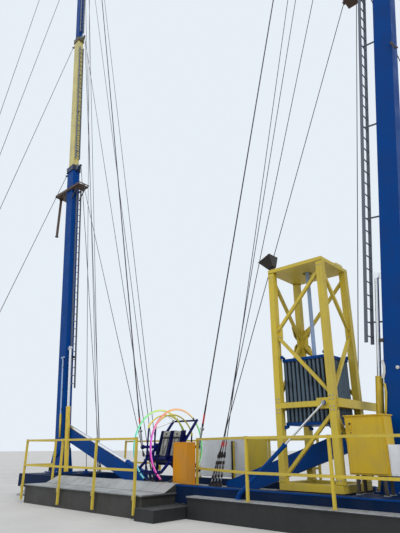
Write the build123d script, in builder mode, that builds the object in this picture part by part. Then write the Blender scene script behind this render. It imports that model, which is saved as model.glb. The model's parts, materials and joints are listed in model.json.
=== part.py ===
"""Reverse bungee ride: two leaning telescopic masts on a low base frame, guyed to the ground, with
ropes to a two-seat open capsule and a spring tower beside the right mast.

Millimetres. The origin is on the ground midway between the masts, +X runs to the right mast,
+Y to the rear and +Z up.
"""

import math
import os

from build123d import *

os.makedirs("parts", exist_ok=True)

# Masts, measured along their leaning axes from the ground
MAST_FOOT_X = 5700
MAST_LEAN = 6.3
SECTION_WIDTHS = (440, 360, 300, 250)
SECTION_DEPTHS = (340, 280, 230, 190)
SECTION_WALLS = (20, 20, 16, 14)
SECTION_HEADS = (13400, 21800, 30200, 38500)
SECTION_OVERLAP = 1200
MAST_START = 860
COLLAR_WALL = 30
COLLAR_HEIGHT = 260
COLLAR_LIP = 20
ARM_LENGTH = 300
ARM_HEIGHT = 70
ARM_THICKNESS = 40
CAP_THICKNESS = 30
DRUM_RADIUS = 125
DRUM_THICKNESS = 110
DRUM_REACH = 60
SECOND_EYE_SHARE = 0.75

# Clearance of a piece that seats on another without being welded to it
SEAT = 0.3

# Base frame and decks
FRAME_HALF_LENGTH = 6300
FRAME_HALF_WIDTH = 1250
FRAME_BEAM_WIDTH = 200
FRAME_BOTTOM = 260
FRAME_TOP = 640
FOOT_PAD = 420
FOOT_PAD_THICKNESS = 40
FOOT_STEM_RADIUS = 70
DECK_TOP = 475
DECK_THICKNESS = 45
DECK_LEFT_X = -4000
DECK_RIGHT_X = 1050
DECK_FRONT_Y = -2300
CENTRE_DECK_RIGHT_X = 3400
RISER_SETBACK = 40
RISER_THICKNESS = 30
RIGHT_DECK_TOP = 450
RIGHT_DECK_FRONT_Y = -1550
RIGHT_DECK_LEFT_X = 1650
RIGHT_DECK_RIGHT_X = 7000
STEP_TOP = 240
STEP_RIGHT_X = 1600
STEP_FRONT_Y = -2450
STEP_REAR_Y = -1300

# Railings
RAIL_SIZE = 50
RAIL_TOP = 1650
RAIL_MIDDLE = 970
LEFT_RAIL_FOOT_Z = 80
LEFT_RAIL_REAR_Y = -1400
LEFT_POST_X = (-2170, -670, 830)
RIGHT_RAIL_START = (1130, -630)
RIGHT_POST_X = (3330, 5180, 6970)
REAR_POST_X = (-3970, -2240, -510, 1220, 1940, 3370)
PANEL_THICKNESS = 12
PANEL_SIDE_GAP = 30
PANEL_RISE = 30

# Spring tower
TOWER_LEFT_X = 3630
TOWER_RIGHT_X = 5030
TOWER_FRONT_Y = -870
TOWER_REAR_Y = 370
TOWER_TOP = 5370
TOWER_PLATE = 80
TOWER_LEG = 145
TOWER_BASE_BEAM = 140
TOWER_RING_Z = 2270
TOWER_RING_HEIGHT = 110
TOWER_SIDE_RING_HEIGHT = 170
RING_REACH = 800
RING_REACH_WIDTH = 60
RING_BLOCK_LENGTH = 260
RING_BLOCK_HEIGHT = 210
RING_PIN_X = 4810
RING_PIN_RADIUS = 60
RING_PIN_LENGTH = 40
TOWER_BRACE = 65
GUSSET_THICKNESS = 14
GUSSET_REACH = 230
TOWER_HOLE_RADIUS = 110

# Spring bank
SPRING_RADIUS = 46
SPRING_COLUMN_PITCH = 100
SPRING_ROW_PITCH = 105
SPRING_COLUMNS = 11
SPRING_ROWS = 9
SPRING_BOTTOM = 1930
SPRING_TOP = 3200
SPRING_PLATE = 60
SPRING_PLATE_MARGIN = 5
ROLLER_RADIUS = 38
ROLLER_WIDTH = 30
ROLLER_STEM = 40
TOWER_ROD_RADIUS = 45
ROD_CAP_RADIUS = 150
ROD_CAP_THICKNESS = 45

# Capsule
CAPSULE_Y = -500
CAPSULE_Z = 1450
HOOP_RADIUS = 930
HOOP_TUBE_RADIUS = 24
HOOP_HALF_SPACING = 310
ROLL_BAR_RADIUS = 800
ROLL_BAR_TUBE_RADIUS = 19
ROLL_BAR_HALF_SPACING = 130
ROLL_BAR_START = 40
ROLL_BAR_END = 155
ROLL_BAR_FERRULE = 60
SIDE_FRAME_X = 450
FRAME_TUBE_RADIUS = 26
CROSS_TUBE_RADIUS = 24
POST_RADIUS = 21
SPOKE_TIP = 8
HUB_RADIUS = 75
SIDE_ARM_RADIUS = 38
PIVOT_X = 1040
PIVOT_RADIUS = 25
PIVOT_CLEARANCE = 0.05
YOKE_GAP = 6
YOKE_THICKNESS = 30
YOKE_BAR_WIDTH = 45
YOKE_BOSS_RADIUS = 63
YOKE_EYE_X = 1170
YOKE_EYE_Z = 1870
SEAT_WIDTH = 380
SEAT_HALF_SPACING = 200
SEAT_CHEEK = 24
PAD_SIDE_GAP = 10

# Ropes and guys
ROPE_RADIUS = 10
GUY_RADIUS = 12
EYE_RADIUS = 36
EYE_THICKNESS = 80
GUY_ANCHOR_FAR = (9700, 4500)
GUY_ANCHOR_NEAR = (8500, 3670)
ANCHOR_PLATE = 600
ANCHOR_PLATE_THICKNESS = 60
ANCHOR_EYE_Z = 160
ROPE_ANCHOR_X = 1120
ROPE_ANCHOR_Y = 50
ROPE_ANCHOR_EYE_Z = 560
ROPE_ANCHOR_FAN = 126
ROPE_ANCHOR_PLATE_WIDTH = 240
ROPE_ANCHOR_PLATE_THICKNESS = 20
HAUL_FOOT_X = 4700
HAUL_FOOT_Y = {-1: 250, 1: 480}
HAUL_FOOT_Z = 790
HAUL_BEAM_HEIGHT = 60
HAUL_BEAM_HALF_WIDTH = 60

# Cabinet and desk
CABINET_LEFT_X = 5150
CABINET_RIGHT_X = 5920
CABINET_FRONT_Y = -800
CABINET_DEPTH = 350
CABINET_BOTTOM = 970
CABINET_TOP = 2000
CABINET_WALL = 4
DOOR_THICKNESS = 22
DOOR_MARGIN = 32
DOOR_FLANGE = 50
KNUCKLE_RADIUS = 11
KNUCKLE_LENGTH = 80
KNUCKLE_SHARES = (0.15, 0.5, 0.85)
HANDLE_INSET = 70
HANDLE_HEIGHT_SHARE = 0.78
STAND_INSET_X = 130
STAND_INSET_Y = 40
STAND_POST = 50
CABINET_CAP = 18
CABINET_CAP_OVERHANG = 20
HANDLE_SIZE = (30, 24, 130)
GREY_BOX_WIDTH = 240
GREY_BOX_DEPTH = 180
GREY_BOX_HEIGHT = 520
GREY_BOX_SETBACK = 20
DESK_LEFT_X = 630
DESK_WIDTH = 460
DESK_FRONT_Y = -950
DESK_DEPTH = 280
DESK_HEIGHT = 1080

SIDES = ((-1, "left"), (1, "right"))

# A bar this nearly in line with its side direction takes the next axis round instead
PARALLEL = 0.99


def save(piece, label):
    """Names a finished piece and writes it to its own file."""
    piece.part.label = label
    export_step(piece.part, f"parts/{label}.step")


def plane_along(start, end, side):
    """The plane at start that looks at end, with its x axis as near to side as it can be."""
    run = (end - start).normalized()
    if abs(run.dot(side)) > PARALLEL:
        side = Vector(side.Z, side.X, side.Y)
    across = side - run * side.dot(run)
    return Plane(origin=start, x_dir=across.normalized(), z_dir=run)


def bar(start, end, width, depth, side=Vector(0, 1, 0)):
    """Adds a rectangular bar to the piece in hand: width lies along side."""
    with BuildSketch(plane_along(start, end, side)) as section:
        Rectangle(width, depth)
    extrude(section.sketch, amount=(end - start).length)


def rod(start, end, radius, side=Vector(0, 1, 0)):
    """Adds a round bar to the piece in hand."""
    with BuildSketch(plane_along(start, end, side)) as section:
        Circle(radius)
    extrude(section.sketch, amount=(end - start).length)


def block(low, high, mode=Mode.ADD):
    """Adds a box to the piece in hand, from its low corner to its high corner."""
    size = [b - a for a, b in zip(low, high)]
    with Locations(Location(low)):
        Box(*size, align=(Align.MIN, Align.MIN, Align.MIN), mode=mode)


def disc(centre, radius, thickness, axis=Vector(0, 1, 0), mode=Mode.ADD):
    """Adds a disc to the piece in hand, centred on a point and square to axis."""
    plane = Plane(origin=centre - axis * (thickness / 2), z_dir=axis)
    with BuildSketch(plane) as section:
        Circle(radius)
    extrude(section.sketch, amount=thickness, mode=mode)


def rope(start, end, radius):
    """Adds a taut rope between two eyes square to Y, its ends seated on their rims."""
    run = (end - start).normalized()
    level = math.sqrt(1 - run.Y ** 2)
    gap = (EYE_RADIUS + SEAT + radius * abs(run.Y)) / level
    rod(start + run * gap, end - run * gap, radius)


def mast_point(side, along, out=0, back=0):
    """A point of a mast: along its axis from the ground, outward from the ride and to the rear."""
    lean = math.radians(MAST_LEAN)
    x = MAST_FOOT_X + along * math.sin(lean) + out * math.cos(lean)
    z = along * math.cos(lean) - out * math.sin(lean)
    return Vector(side * x, back, z)


def mast_plane(side, along):
    """A plane square to a mast's axis, with its x axis outward."""
    origin = mast_point(side, along)
    outward = mast_point(side, along, 1) - origin
    return Plane(origin=origin, x_dir=outward, z_dir=mast_point(side, along + 1) - origin)


def mast_prism(side, start, end, width, depth, mode=Mode.ADD):
    """Adds a box along a mast's axis to the piece in hand."""
    with BuildSketch(mast_plane(side, start)) as section:
        Rectangle(width, depth)
    extrude(section.sketch, amount=end - start, mode=mode)


def mast_section(side, index):
    """One telescopic box section, open inside for the section above it."""
    start = MAST_START if index == 0 else SECTION_HEADS[index - 1] - SECTION_OVERLAP
    width, depth = SECTION_WIDTHS[index], SECTION_DEPTHS[index]
    wall = SECTION_WALLS[index]
    with BuildPart() as section:
        mast_prism(side, start, SECTION_HEADS[index], width, depth)
        mast_prism(
            side, start, SECTION_HEADS[index],
            width - 2 * wall, depth - 2 * wall, mode=Mode.SUBTRACT,
        )
    return section


def arm_eyes(side, along, half_width):
    """The inner and outer rope eyes of a mast head."""
    reach = half_width + ARM_LENGTH
    return mast_point(side, along, -reach), mast_point(side, along, reach)


def add_arms(side, along, half_width):
    """Adds a head's two arms, each with an eye, and its inner drum to the piece in hand."""
    for eye, out in zip(arm_eyes(side, along, half_width), (-1, 1)):
        root = mast_point(side, along, out * half_width)
        bar(root, eye, ARM_THICKNESS, ARM_HEIGHT)
        disc(eye, EYE_RADIUS, EYE_THICKNESS)
    disc(mast_point(side, along, -half_width - DRUM_REACH), DRUM_RADIUS, DRUM_THICKNESS)


def collar_along(index):
    """How far up the mast axis the middle of a collar is."""
    return SECTION_HEADS[index] - COLLAR_HEIGHT / 2


def collar_half_width(index):
    """Half the width of a collar over its plates."""
    return SECTION_WIDTHS[index] / 2 + SEAT + COLLAR_WALL


def mast_collars(side):
    """The heads of the lower sections: a collar outside each, and a lip that guides the next."""
    with BuildPart() as collars:
        for index, head in enumerate(SECTION_HEADS[:-1]):
            outer_width = 2 * collar_half_width(index)
            outer_depth = SECTION_DEPTHS[index] + 2 * (SEAT + COLLAR_WALL)
            mast_prism(side, head - COLLAR_HEIGHT, head + COLLAR_LIP, outer_width, outer_depth)
            add_arms(side, collar_along(index), collar_half_width(index))
            mast_prism(
                side, head - COLLAR_HEIGHT, head + SEAT,
                SECTION_WIDTHS[index] + 2 * SEAT, SECTION_DEPTHS[index] + 2 * SEAT,
                mode=Mode.SUBTRACT,
            )
            mast_prism(
                side, head, head + COLLAR_LIP,
                SECTION_WIDTHS[index + 1] + 2 * SEAT, SECTION_DEPTHS[index + 1] + 2 * SEAT,
                mode=Mode.SUBTRACT,
            )
    return collars


def second_eye(side):
    """The eye under the inner arm of the top section, for the rope down to the deck."""
    along = collar_along(-1) - ARM_HEIGHT / 2 - EYE_RADIUS / 2
    return mast_point(side, along, -collar_half_width(-1) - ARM_LENGTH * SECOND_EYE_SHARE)


def mast_head(side):
    """The closed head of the top section, with its two arms."""
    head = SECTION_HEADS[-1]
    with BuildPart() as cap:
        mast_prism(
            side, head - COLLAR_HEIGHT, head + CAP_THICKNESS,
            2 * collar_half_width(-1), SECTION_DEPTHS[-1] + 2 * (SEAT + COLLAR_WALL),
        )
        add_arms(side, collar_along(-1), collar_half_width(-1))
        disc(second_eye(side), EYE_RADIUS, EYE_THICKNESS)
        mast_prism(
            side, head - COLLAR_HEIGHT, head + SEAT,
            SECTION_WIDTHS[-1] + 2 * SEAT, SECTION_DEPTHS[-1] + 2 * SEAT,
            mode=Mode.SUBTRACT,
        )
    return cap


# Mast foot
FOOT_PLATE_THICKNESS = 25
FOOT_PLATE_MARGIN_X = 60
FOOT_PLATE_MARGIN_Y = 160
FOOT_CHEEK_THICKNESS = 30
FOOT_CHEEK_TOP = 1450
FOOT_CHEEK_BASE_HALF = 420
FOOT_CHEEK_TOP_RADIUS = 200
FOOT_CHEEK_ROUNDING = 120
FOOT_HUB_RADIUS = 110
FOOT_HUB_THICKNESS = 60


def mast_foot(side):
    """Two blue cheek plates on a base plate, with hub bosses on the mast's pivot line."""
    half_depth = SECTION_DEPTHS[0] / 2 + SEAT
    hub = mast_point(side, FOOT_CHEEK_TOP - FOOT_CHEEK_TOP_RADIUS)
    plate_half_length = FOOT_CHEEK_BASE_HALF + FOOT_PLATE_MARGIN_X
    plate_half_width = half_depth + FOOT_PLATE_MARGIN_Y
    with BuildPart() as foot:
        block(
            (hub.X - plate_half_length, -plate_half_width, FRAME_TOP),
            (hub.X + plate_half_length, plate_half_width, FRAME_TOP + FOOT_PLATE_THICKNESS),
        )
        for face in (-1, 1):
            inner_y = face * half_depth
            with BuildSketch(Plane.XZ.offset(-inner_y)) as cheek:
                with BuildLine():
                    FilletPolyline(
                        (hub.X - FOOT_CHEEK_BASE_HALF, FRAME_TOP),
                        (hub.X - FOOT_CHEEK_TOP_RADIUS, FOOT_CHEEK_TOP),
                        (hub.X + FOOT_CHEEK_TOP_RADIUS, FOOT_CHEEK_TOP),
                        (hub.X + FOOT_CHEEK_BASE_HALF, FRAME_TOP),
                        radius=FOOT_CHEEK_ROUNDING,
                    )
                    Line(
                        (hub.X + FOOT_CHEEK_BASE_HALF, FRAME_TOP),
                        (hub.X - FOOT_CHEEK_BASE_HALF, FRAME_TOP),
                    )
                make_face()
            extrude(cheek.sketch, amount=-face * FOOT_CHEEK_THICKNESS)
            boss_y = face * (half_depth + FOOT_CHEEK_THICKNESS + FOOT_HUB_THICKNESS / 2)
            disc(Vector(hub.X, boss_y, hub.Z), FOOT_HUB_RADIUS, FOOT_HUB_THICKNESS)
    return foot


# Ladders on the inner face of the masts: the left mast's goes on over the sections above
LADDER_OFFSET = {-1: 90, 1: 357}
LADDER_WIDTH = {-1: 200, 1: 310}
LADDER_BACK = {-1: 110, 1: 0}
LADDER_START = 3450
LADDER_RUNG_PITCH = 300
LADDER_RUNGS = {-1: 29, 1: 32}
LADDER_STILE = (30, 70)
LADDER_RUNG_RADIUS = 14
LADDER_RUNG_WIDTH = 24
LADDER_BRACKET_PITCH = 8
LADDER_BRACKET = 30
UPPER_LADDERS = {-1: (1, 2), 1: ()}
UPPER_LADDER_GAP = 400


def ladder_point(side, index, along, across):
    """A point on a ladder, which stands off the inner face of a section."""
    return mast_point(side, along, -SECTION_WIDTHS[index] / 2 - LADDER_OFFSET[side], across)


def add_ladder(side, index, start, rungs, back):
    """Adds two stiles, their rungs and the brackets that hold them off a section."""
    low, high = back - LADDER_WIDTH[side] / 2, back + LADDER_WIDTH[side] / 2
    top = start + LADDER_RUNG_PITCH * rungs
    for across in (low, high):
        foot = ladder_point(side, index, start, across)
        bar(foot, ladder_point(side, index, top, across), *LADDER_STILE)
    for rung in range(rungs):
        along = start + LADDER_RUNG_PITCH * (rung + 0.5)
        ends = [ladder_point(side, index, along, across) for across in (low, high)]
        if index == 0:
            rod(*ends, LADDER_RUNG_RADIUS, side=Vector(0, 0, 1))
        else:
            bar(*ends, LADDER_RUNG_WIDTH, LADDER_RUNG_WIDTH, Vector(0, 0, 1))
        if rung % LADDER_BRACKET_PITCH == 1:
            wall = mast_point(side, along, -SECTION_WIDTHS[index] / 2 - SEAT, back)
            bar(wall, ladder_point(side, index, along, back), LADDER_BRACKET, LADDER_BRACKET)


def mast_ladder(side):
    """The ladder of the first section and those of the sections above it."""
    with BuildPart() as ladder:
        add_ladder(side, 0, LADDER_START, LADDER_RUNGS[side], LADDER_BACK[side])
        for index in UPPER_LADDERS[side]:
            start = SECTION_HEADS[index - 1] + UPPER_LADDER_GAP
            room = SECTION_HEADS[index] - COLLAR_HEIGHT - UPPER_LADDER_GAP - start
            add_ladder(side, index, start, int(room // LADDER_RUNG_PITCH), 0)
    return ladder


# Small work platform near the head of the first section
WORK_PLATFORM_ALONG = {-1: 12150, 1: 13000}
WORK_PLATFORM_INNER = {-1: 600, 1: 850}
WORK_PLATFORM_OUTER = {-1: 800, 1: 300}
WORK_PLATFORM_HALF_DEPTH = 250
WORK_PLATFORM_THICKNESS = 50
WORK_PLATFORM_CUT = 400
HATCH_CLEARANCE = 45
HANGING_TUBE_RADIUS = 55
HANGING_TUBE_INSET = 90
HANGING_TUBE_LENGTH = 1900


def work_platform_eye(side):
    """The inner corner of a work platform, where a rope is made fast."""
    centre = mast_point(side, WORK_PLATFORM_ALONG[side])
    inner = SECTION_WIDTHS[0] / 2 + WORK_PLATFORM_INNER[side]
    drop = WORK_PLATFORM_THICKNESS / 2
    return centre + Vector(-side * (inner + EYE_RADIUS / 2), 0, -drop)


def work_platform(side):
    """A horizontal platform about the mast, open for the mast and for the ladder."""
    along = WORK_PLATFORM_ALONG[side]
    centre = mast_point(side, along)
    bottom = centre.Z - WORK_PLATFORM_THICKNESS
    mast_half = SECTION_WIDTHS[0] / 2
    inner_x = centre.X - side * (mast_half + WORK_PLATFORM_INNER[side])
    outer_x = centre.X + side * (mast_half + WORK_PLATFORM_OUTER[side])
    face_x = centre.X - side * mast_half
    hatch_x = face_x - side * (LADDER_OFFSET[side] + LADDER_STILE[1] / 2 + HATCH_CLEARANCE)
    hatch_half = LADDER_WIDTH[side] / 2 + HATCH_CLEARANCE
    with BuildPart() as platform:
        block(
            (min(inner_x, outer_x), -WORK_PLATFORM_HALF_DEPTH, bottom),
            (max(inner_x, outer_x), WORK_PLATFORM_HALF_DEPTH, centre.Z),
        )
        disc(work_platform_eye(side), EYE_RADIUS, EYE_THICKNESS)
        mast_prism(
            side, along - WORK_PLATFORM_CUT, along + WORK_PLATFORM_CUT,
            SECTION_WIDTHS[0] + 2 * SEAT, SECTION_DEPTHS[0] + 2 * SEAT, mode=Mode.SUBTRACT,
        )
        block(
            (min(face_x, hatch_x), LADDER_BACK[side] - hatch_half, bottom),
            (max(face_x, hatch_x), LADDER_BACK[side] + hatch_half, centre.Z), Mode.SUBTRACT,
        )
        if side < 0:
            top = Vector(outer_x + HANGING_TUBE_INSET, 0, bottom)
            rod(top, top - Vector(0, 0, HANGING_TUBE_LENGTH), HANGING_TUBE_RADIUS)
    return platform


# Raising cylinder on the inner side of each mast
CYLINDER_OUT = -360
CYLINDER_BACK = -60
CYLINDER_SLEEVE_TOP = 2770
CYLINDER_ROD_TOP = 4900
CYLINDER_SLEEVE_RADIUS = 78
CYLINDER_ROD_RADIUS = 45
CYLINDER_LUG_THICKNESS = 60
CYLINDER_BALL_RADIUS = 68


def mast_cylinder(side):
    """A sleeve on the base plate, its bright rod and the lug that ties the rod to the mast."""
    lean = math.radians(MAST_LEAN)
    foot_z = FRAME_TOP + FOOT_PLATE_THICKNESS + SEAT
    start = (foot_z + (CYLINDER_SLEEVE_RADIUS + CYLINDER_OUT) * math.sin(lean)) / math.cos(lean)
    with BuildPart() as cylinder:
        rod(
            mast_point(side, start, CYLINDER_OUT, CYLINDER_BACK),
            mast_point(side, CYLINDER_SLEEVE_TOP, CYLINDER_OUT, CYLINDER_BACK),
            CYLINDER_SLEEVE_RADIUS,
        )
        rod(
            mast_point(side, CYLINDER_SLEEVE_TOP, CYLINDER_OUT, CYLINDER_BACK),
            mast_point(side, CYLINDER_ROD_TOP, CYLINDER_OUT, CYLINDER_BACK),
            CYLINDER_ROD_RADIUS,
        )
        ball = mast_point(side, CYLINDER_ROD_TOP, CYLINDER_OUT, CYLINDER_BACK)
        disc(ball, CYLINDER_BALL_RADIUS, 2 * CYLINDER_ROD_RADIUS)
        bar(
            mast_point(side, CYLINDER_ROD_TOP, -SECTION_WIDTHS[0] / 2 - SEAT, CYLINDER_BACK),
            ball, CYLINDER_LUG_THICKNESS, 2 * CYLINDER_LUG_THICKNESS,
        )
    return cylinder


for side, name in SIDES:
    for index in range(len(SECTION_HEADS)):
        save(mast_section(side, index), f"{name}_mast_section_{index + 1}")
    save(mast_collars(side), f"{name}_mast_collars")
    save(mast_head(side), f"{name}_mast_head")
    save(mast_foot(side), f"{name}_mast_foot")
    save(mast_ladder(side), f"{name}_ladder")
    save(work_platform(side), f"{name}_work_platform")
    save(mast_cylinder(side), f"{name}_raising_cylinder")

# Base frame: two long beams, low cross members under the deck and full ones under the machines
FULL_CROSS_X = (
    -MAST_FOOT_X, -HAUL_FOOT_X, TOWER_LEFT_X + TOWER_LEG / 2, TOWER_RIGHT_X - TOWER_LEG / 2,
    MAST_FOOT_X,
)
LOW_CROSS_X = (-3600, -1800, 0, 1800)
CROSS_WIDTH = 150
BOLSTER_WIDTH = 900

with BuildPart() as base_frame:
    inner_y = FRAME_HALF_WIDTH - FRAME_BEAM_WIDTH
    for face in (-1, 1):
        low_y, high_y = sorted((face * FRAME_HALF_WIDTH, face * inner_y))
        block((-FRAME_HALF_LENGTH, low_y, FRAME_BOTTOM), (FRAME_HALF_LENGTH, high_y, FRAME_TOP))
    for x in FULL_CROSS_X:
        half = BOLSTER_WIDTH / 2 if abs(x) > TOWER_RIGHT_X else CROSS_WIDTH / 2
        block((x - half, -inner_y, FRAME_BOTTOM), (x + half, inner_y, FRAME_TOP))
    for x in LOW_CROSS_X:
        block(
            (x - CROSS_WIDTH / 2, -inner_y, FRAME_BOTTOM),
            (x + CROSS_WIDTH / 2, inner_y, DECK_TOP - DECK_THICKNESS),
        )
save(base_frame, "base_frame")

FOOT_X = (-5900, -2000, 2000, 5900)

with BuildPart() as base_feet:
    for x in FOOT_X:
        for face in (-1, 1):
            y = face * (FRAME_HALF_WIDTH - FRAME_BEAM_WIDTH / 2)
            half = FOOT_PAD / 2
            block((x - half, y - half, 0), (x + half, y + half, FOOT_PAD_THICKNESS))
            rod(
                Vector(x, y, FOOT_PAD_THICKNESS), Vector(x, y, FRAME_BOTTOM),
                FOOT_STEM_RADIUS,
            )
save(base_feet, "base_feet")

# Decks: the boarding deck in front of the frame and the centre deck between its beams
with BuildPart() as front_deck:
    block(
        (DECK_LEFT_X, DECK_FRONT_Y, DECK_TOP - DECK_THICKNESS),
        (DECK_RIGHT_X, -FRAME_HALF_WIDTH, DECK_TOP),
    )
    riser_top = DECK_TOP - DECK_THICKNESS
    riser_front = DECK_FRONT_Y + RISER_SETBACK
    riser_left = DECK_LEFT_X + RISER_SETBACK
    riser_right = DECK_RIGHT_X - RISER_SETBACK
    block((riser_left, riser_front, 0), (riser_right, riser_front + RISER_THICKNESS, riser_top))
    for low_x in (riser_left, riser_right - RISER_THICKNESS):
        block(
            (low_x, riser_front + RISER_THICKNESS, 0),
            (low_x + RISER_THICKNESS, -FRAME_HALF_WIDTH, riser_top),
        )
save(front_deck, "front_deck")

with BuildPart() as centre_deck:
    block(
        (DECK_LEFT_X, -inner_y, DECK_TOP - DECK_THICKNESS),
        (CENTRE_DECK_RIGHT_X, inner_y, DECK_TOP),
    )
save(centre_deck, "centre_deck")

with BuildPart() as right_deck:
    block(
        (RIGHT_DECK_LEFT_X, RIGHT_DECK_FRONT_Y, RIGHT_DECK_TOP - DECK_THICKNESS),
        (RIGHT_DECK_RIGHT_X, -FRAME_HALF_WIDTH, RIGHT_DECK_TOP),
    )
    strip_front = RIGHT_DECK_FRONT_Y + RISER_SETBACK
    block(
        (RIGHT_DECK_LEFT_X, strip_front, 0),
        (RIGHT_DECK_RIGHT_X, strip_front + RISER_THICKNESS, RIGHT_DECK_TOP - DECK_THICKNESS),
    )
save(right_deck, "right_deck")

with BuildPart() as entrance_step:
    block((riser_right + SEAT, STEP_FRONT_Y, 0), (STEP_RIGHT_X, STEP_REAR_Y, STEP_TOP))
save(entrance_step, "entrance_step")


def railing(posts):
    """Square posts, each on its own foot height, joined by a top rail and a middle rail."""
    with BuildPart() as rails:
        for x, y, foot_z in posts:
            bar(Vector(x, y, foot_z), Vector(x, y, RAIL_TOP), RAIL_SIZE, RAIL_SIZE)
        for (x1, y1, _), (x2, y2, _) in zip(posts, posts[1:]):
            for z in (RAIL_TOP - RAIL_SIZE / 2, RAIL_MIDDLE):
                bar(Vector(x1, y1, z), Vector(x2, y2, z), RAIL_SIZE, RAIL_SIZE, Vector(0, 0, 1))
    return rails


left_rail_x = DECK_LEFT_X - RAIL_SIZE / 2 - SEAT
front_rail_y = DECK_FRONT_Y - RAIL_SIZE / 2 - SEAT
left_posts = [
    (left_rail_x, LEFT_RAIL_REAR_Y, LEFT_RAIL_FOOT_Z), (left_rail_x, front_rail_y, LEFT_RAIL_FOOT_Z),
]
left_posts += [(x, front_rail_y, LEFT_RAIL_FOOT_Z) for x in LEFT_POST_X]
save(railing(left_posts), "left_railing")

right_posts = [(*RIGHT_RAIL_START, DECK_TOP)]
right_posts += [(x, RIGHT_DECK_FRONT_Y, RIGHT_DECK_TOP) for x in RIGHT_POST_X]
save(railing(right_posts), "right_railing")

rear_rail_y = FRAME_HALF_WIDTH + RAIL_SIZE / 2 + SEAT
save(railing([(x, rear_rail_y, FRAME_BOTTOM) for x in REAR_POST_X]), "rear_railing")

# Two panels stand in front of the rear rails, between the third, fourth and fifth posts
for place, label in ((2, "rear_white_panel"), (3, "rear_yellow_panel")):
    with BuildPart() as panel:
        block(
            (REAR_POST_X[place] + PANEL_SIDE_GAP, FRAME_HALF_WIDTH - PANEL_THICKNESS,
             FRAME_TOP + PANEL_RISE),
            (REAR_POST_X[place + 1] - PANEL_SIDE_GAP, FRAME_HALF_WIDTH, RAIL_TOP),
        )
    save(panel, label)

# Spring tower
leg = TOWER_LEG / 2
LEG_X = (TOWER_LEFT_X + leg, TOWER_RIGHT_X - leg)
LEG_Y = (TOWER_FRONT_Y + leg, TOWER_REAR_Y - leg)
tower_base_top = FRAME_TOP + TOWER_BASE_BEAM
tower_plate_bottom = TOWER_TOP - TOWER_PLATE
ring_bottom = TOWER_RING_Z - TOWER_RING_HEIGHT / 2
ring_top = TOWER_RING_Z + TOWER_RING_HEIGHT / 2
side_ring_bottom = TOWER_RING_Z - TOWER_SIDE_RING_HEIGHT / 2
side_ring_top = TOWER_RING_Z + TOWER_SIDE_RING_HEIGHT / 2
tower_middle = Vector((TOWER_LEFT_X + TOWER_RIGHT_X) / 2, (TOWER_FRONT_Y + TOWER_REAR_Y) / 2, 0)


with BuildPart() as tower_legs:
    for x in LEG_X:
        for y in LEG_Y:
            bar(Vector(x, y, tower_base_top), Vector(x, y, tower_plate_bottom),
                TOWER_LEG, TOWER_LEG)
save(tower_legs, "tower_legs")

with BuildPart() as tower_rings:
    block((TOWER_LEFT_X, TOWER_FRONT_Y, FRAME_TOP), (TOWER_RIGHT_X, TOWER_REAR_Y, tower_base_top))
    block(
        (LEG_X[0] + leg, LEG_Y[0] + leg, FRAME_TOP),
        (LEG_X[1] - leg, LEG_Y[1] - leg, tower_base_top), mode=Mode.SUBTRACT,
    )
    for y in LEG_Y:
        block((LEG_X[0] + leg, y - leg, ring_bottom), (LEG_X[1] - leg, y + leg, ring_top))
    for x in LEG_X:
        block((x - leg, LEG_Y[0] + leg, side_ring_bottom), (x + leg, LEG_Y[1] - leg, side_ring_top))
    block(
        (TOWER_RIGHT_X + SEAT, LEG_Y[0], side_ring_bottom),
        (TOWER_RIGHT_X + RING_REACH_WIDTH, TOWER_REAR_Y + RING_REACH, side_ring_top),
    )
    block(
        (LEG_X[1] - leg - RING_BLOCK_LENGTH, TOWER_FRONT_Y, TOWER_RING_Z - RING_BLOCK_HEIGHT / 2),
        (LEG_X[1] - leg, TOWER_FRONT_Y + TOWER_LEG, TOWER_RING_Z + RING_BLOCK_HEIGHT / 2),
    )
    pin_centre = Vector(RING_PIN_X, TOWER_FRONT_Y - RING_PIN_LENGTH / 2, TOWER_RING_Z)
    disc(pin_centre, RING_PIN_RADIUS, RING_PIN_LENGTH)
save(tower_rings, "tower_rings")

with BuildPart() as tower_top_plate:
    block(
        (TOWER_LEFT_X, TOWER_FRONT_Y, tower_plate_bottom),
        (TOWER_RIGHT_X, TOWER_REAR_Y, TOWER_TOP),
    )
    hole_centre = tower_middle + Vector(0, 0, TOWER_TOP)
    disc(hole_centre, TOWER_HOLE_RADIUS, 3 * TOWER_PLATE, Vector(0, 0, 1), Mode.SUBTRACT)
save(tower_top_plate, "tower_top_plate")


def leg_cut(x, y):
    """Takes a tower leg out of the piece in hand, so that its bars end on the leg's faces."""
    block((x - leg, y - leg, 0), (x + leg, y + leg, TOWER_TOP), mode=Mode.SUBTRACT)


def add_brace_face(node_leg, far_leg, side):
    """Adds the bracing of one face: from far_leg's top and ring to the middle of node_leg."""
    middle = (tower_plate_bottom + side_ring_top) / 2
    near_top = Vector(*far_leg, tower_plate_bottom - TOWER_LEG)
    near_bottom = Vector(*far_leg, side_ring_top + TOWER_LEG / 2)
    node = Vector(*node_leg, middle)
    across = (Vector(*far_leg, 0) - Vector(*node_leg, 0)).normalized()
    normal = across.cross(Vector(0, 0, 1))
    bar(node, near_top, TOWER_BRACE, TOWER_BRACE, side)
    bar(node, near_bottom, TOWER_BRACE, TOWER_BRACE, side)
    origin = node - normal * (GUSSET_THICKNESS / 2)
    with BuildSketch(Plane(origin=origin, x_dir=across, z_dir=normal)) as gusset:
        Polygon(
            (0, GUSSET_REACH), (leg + GUSSET_REACH / 2, GUSSET_REACH / 2),
            (leg + GUSSET_REACH / 2, -GUSSET_REACH / 2), (0, -GUSSET_REACH),
            align=None,
        )
    extrude(gusset.sketch, amount=GUSSET_THICKNESS)


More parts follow.
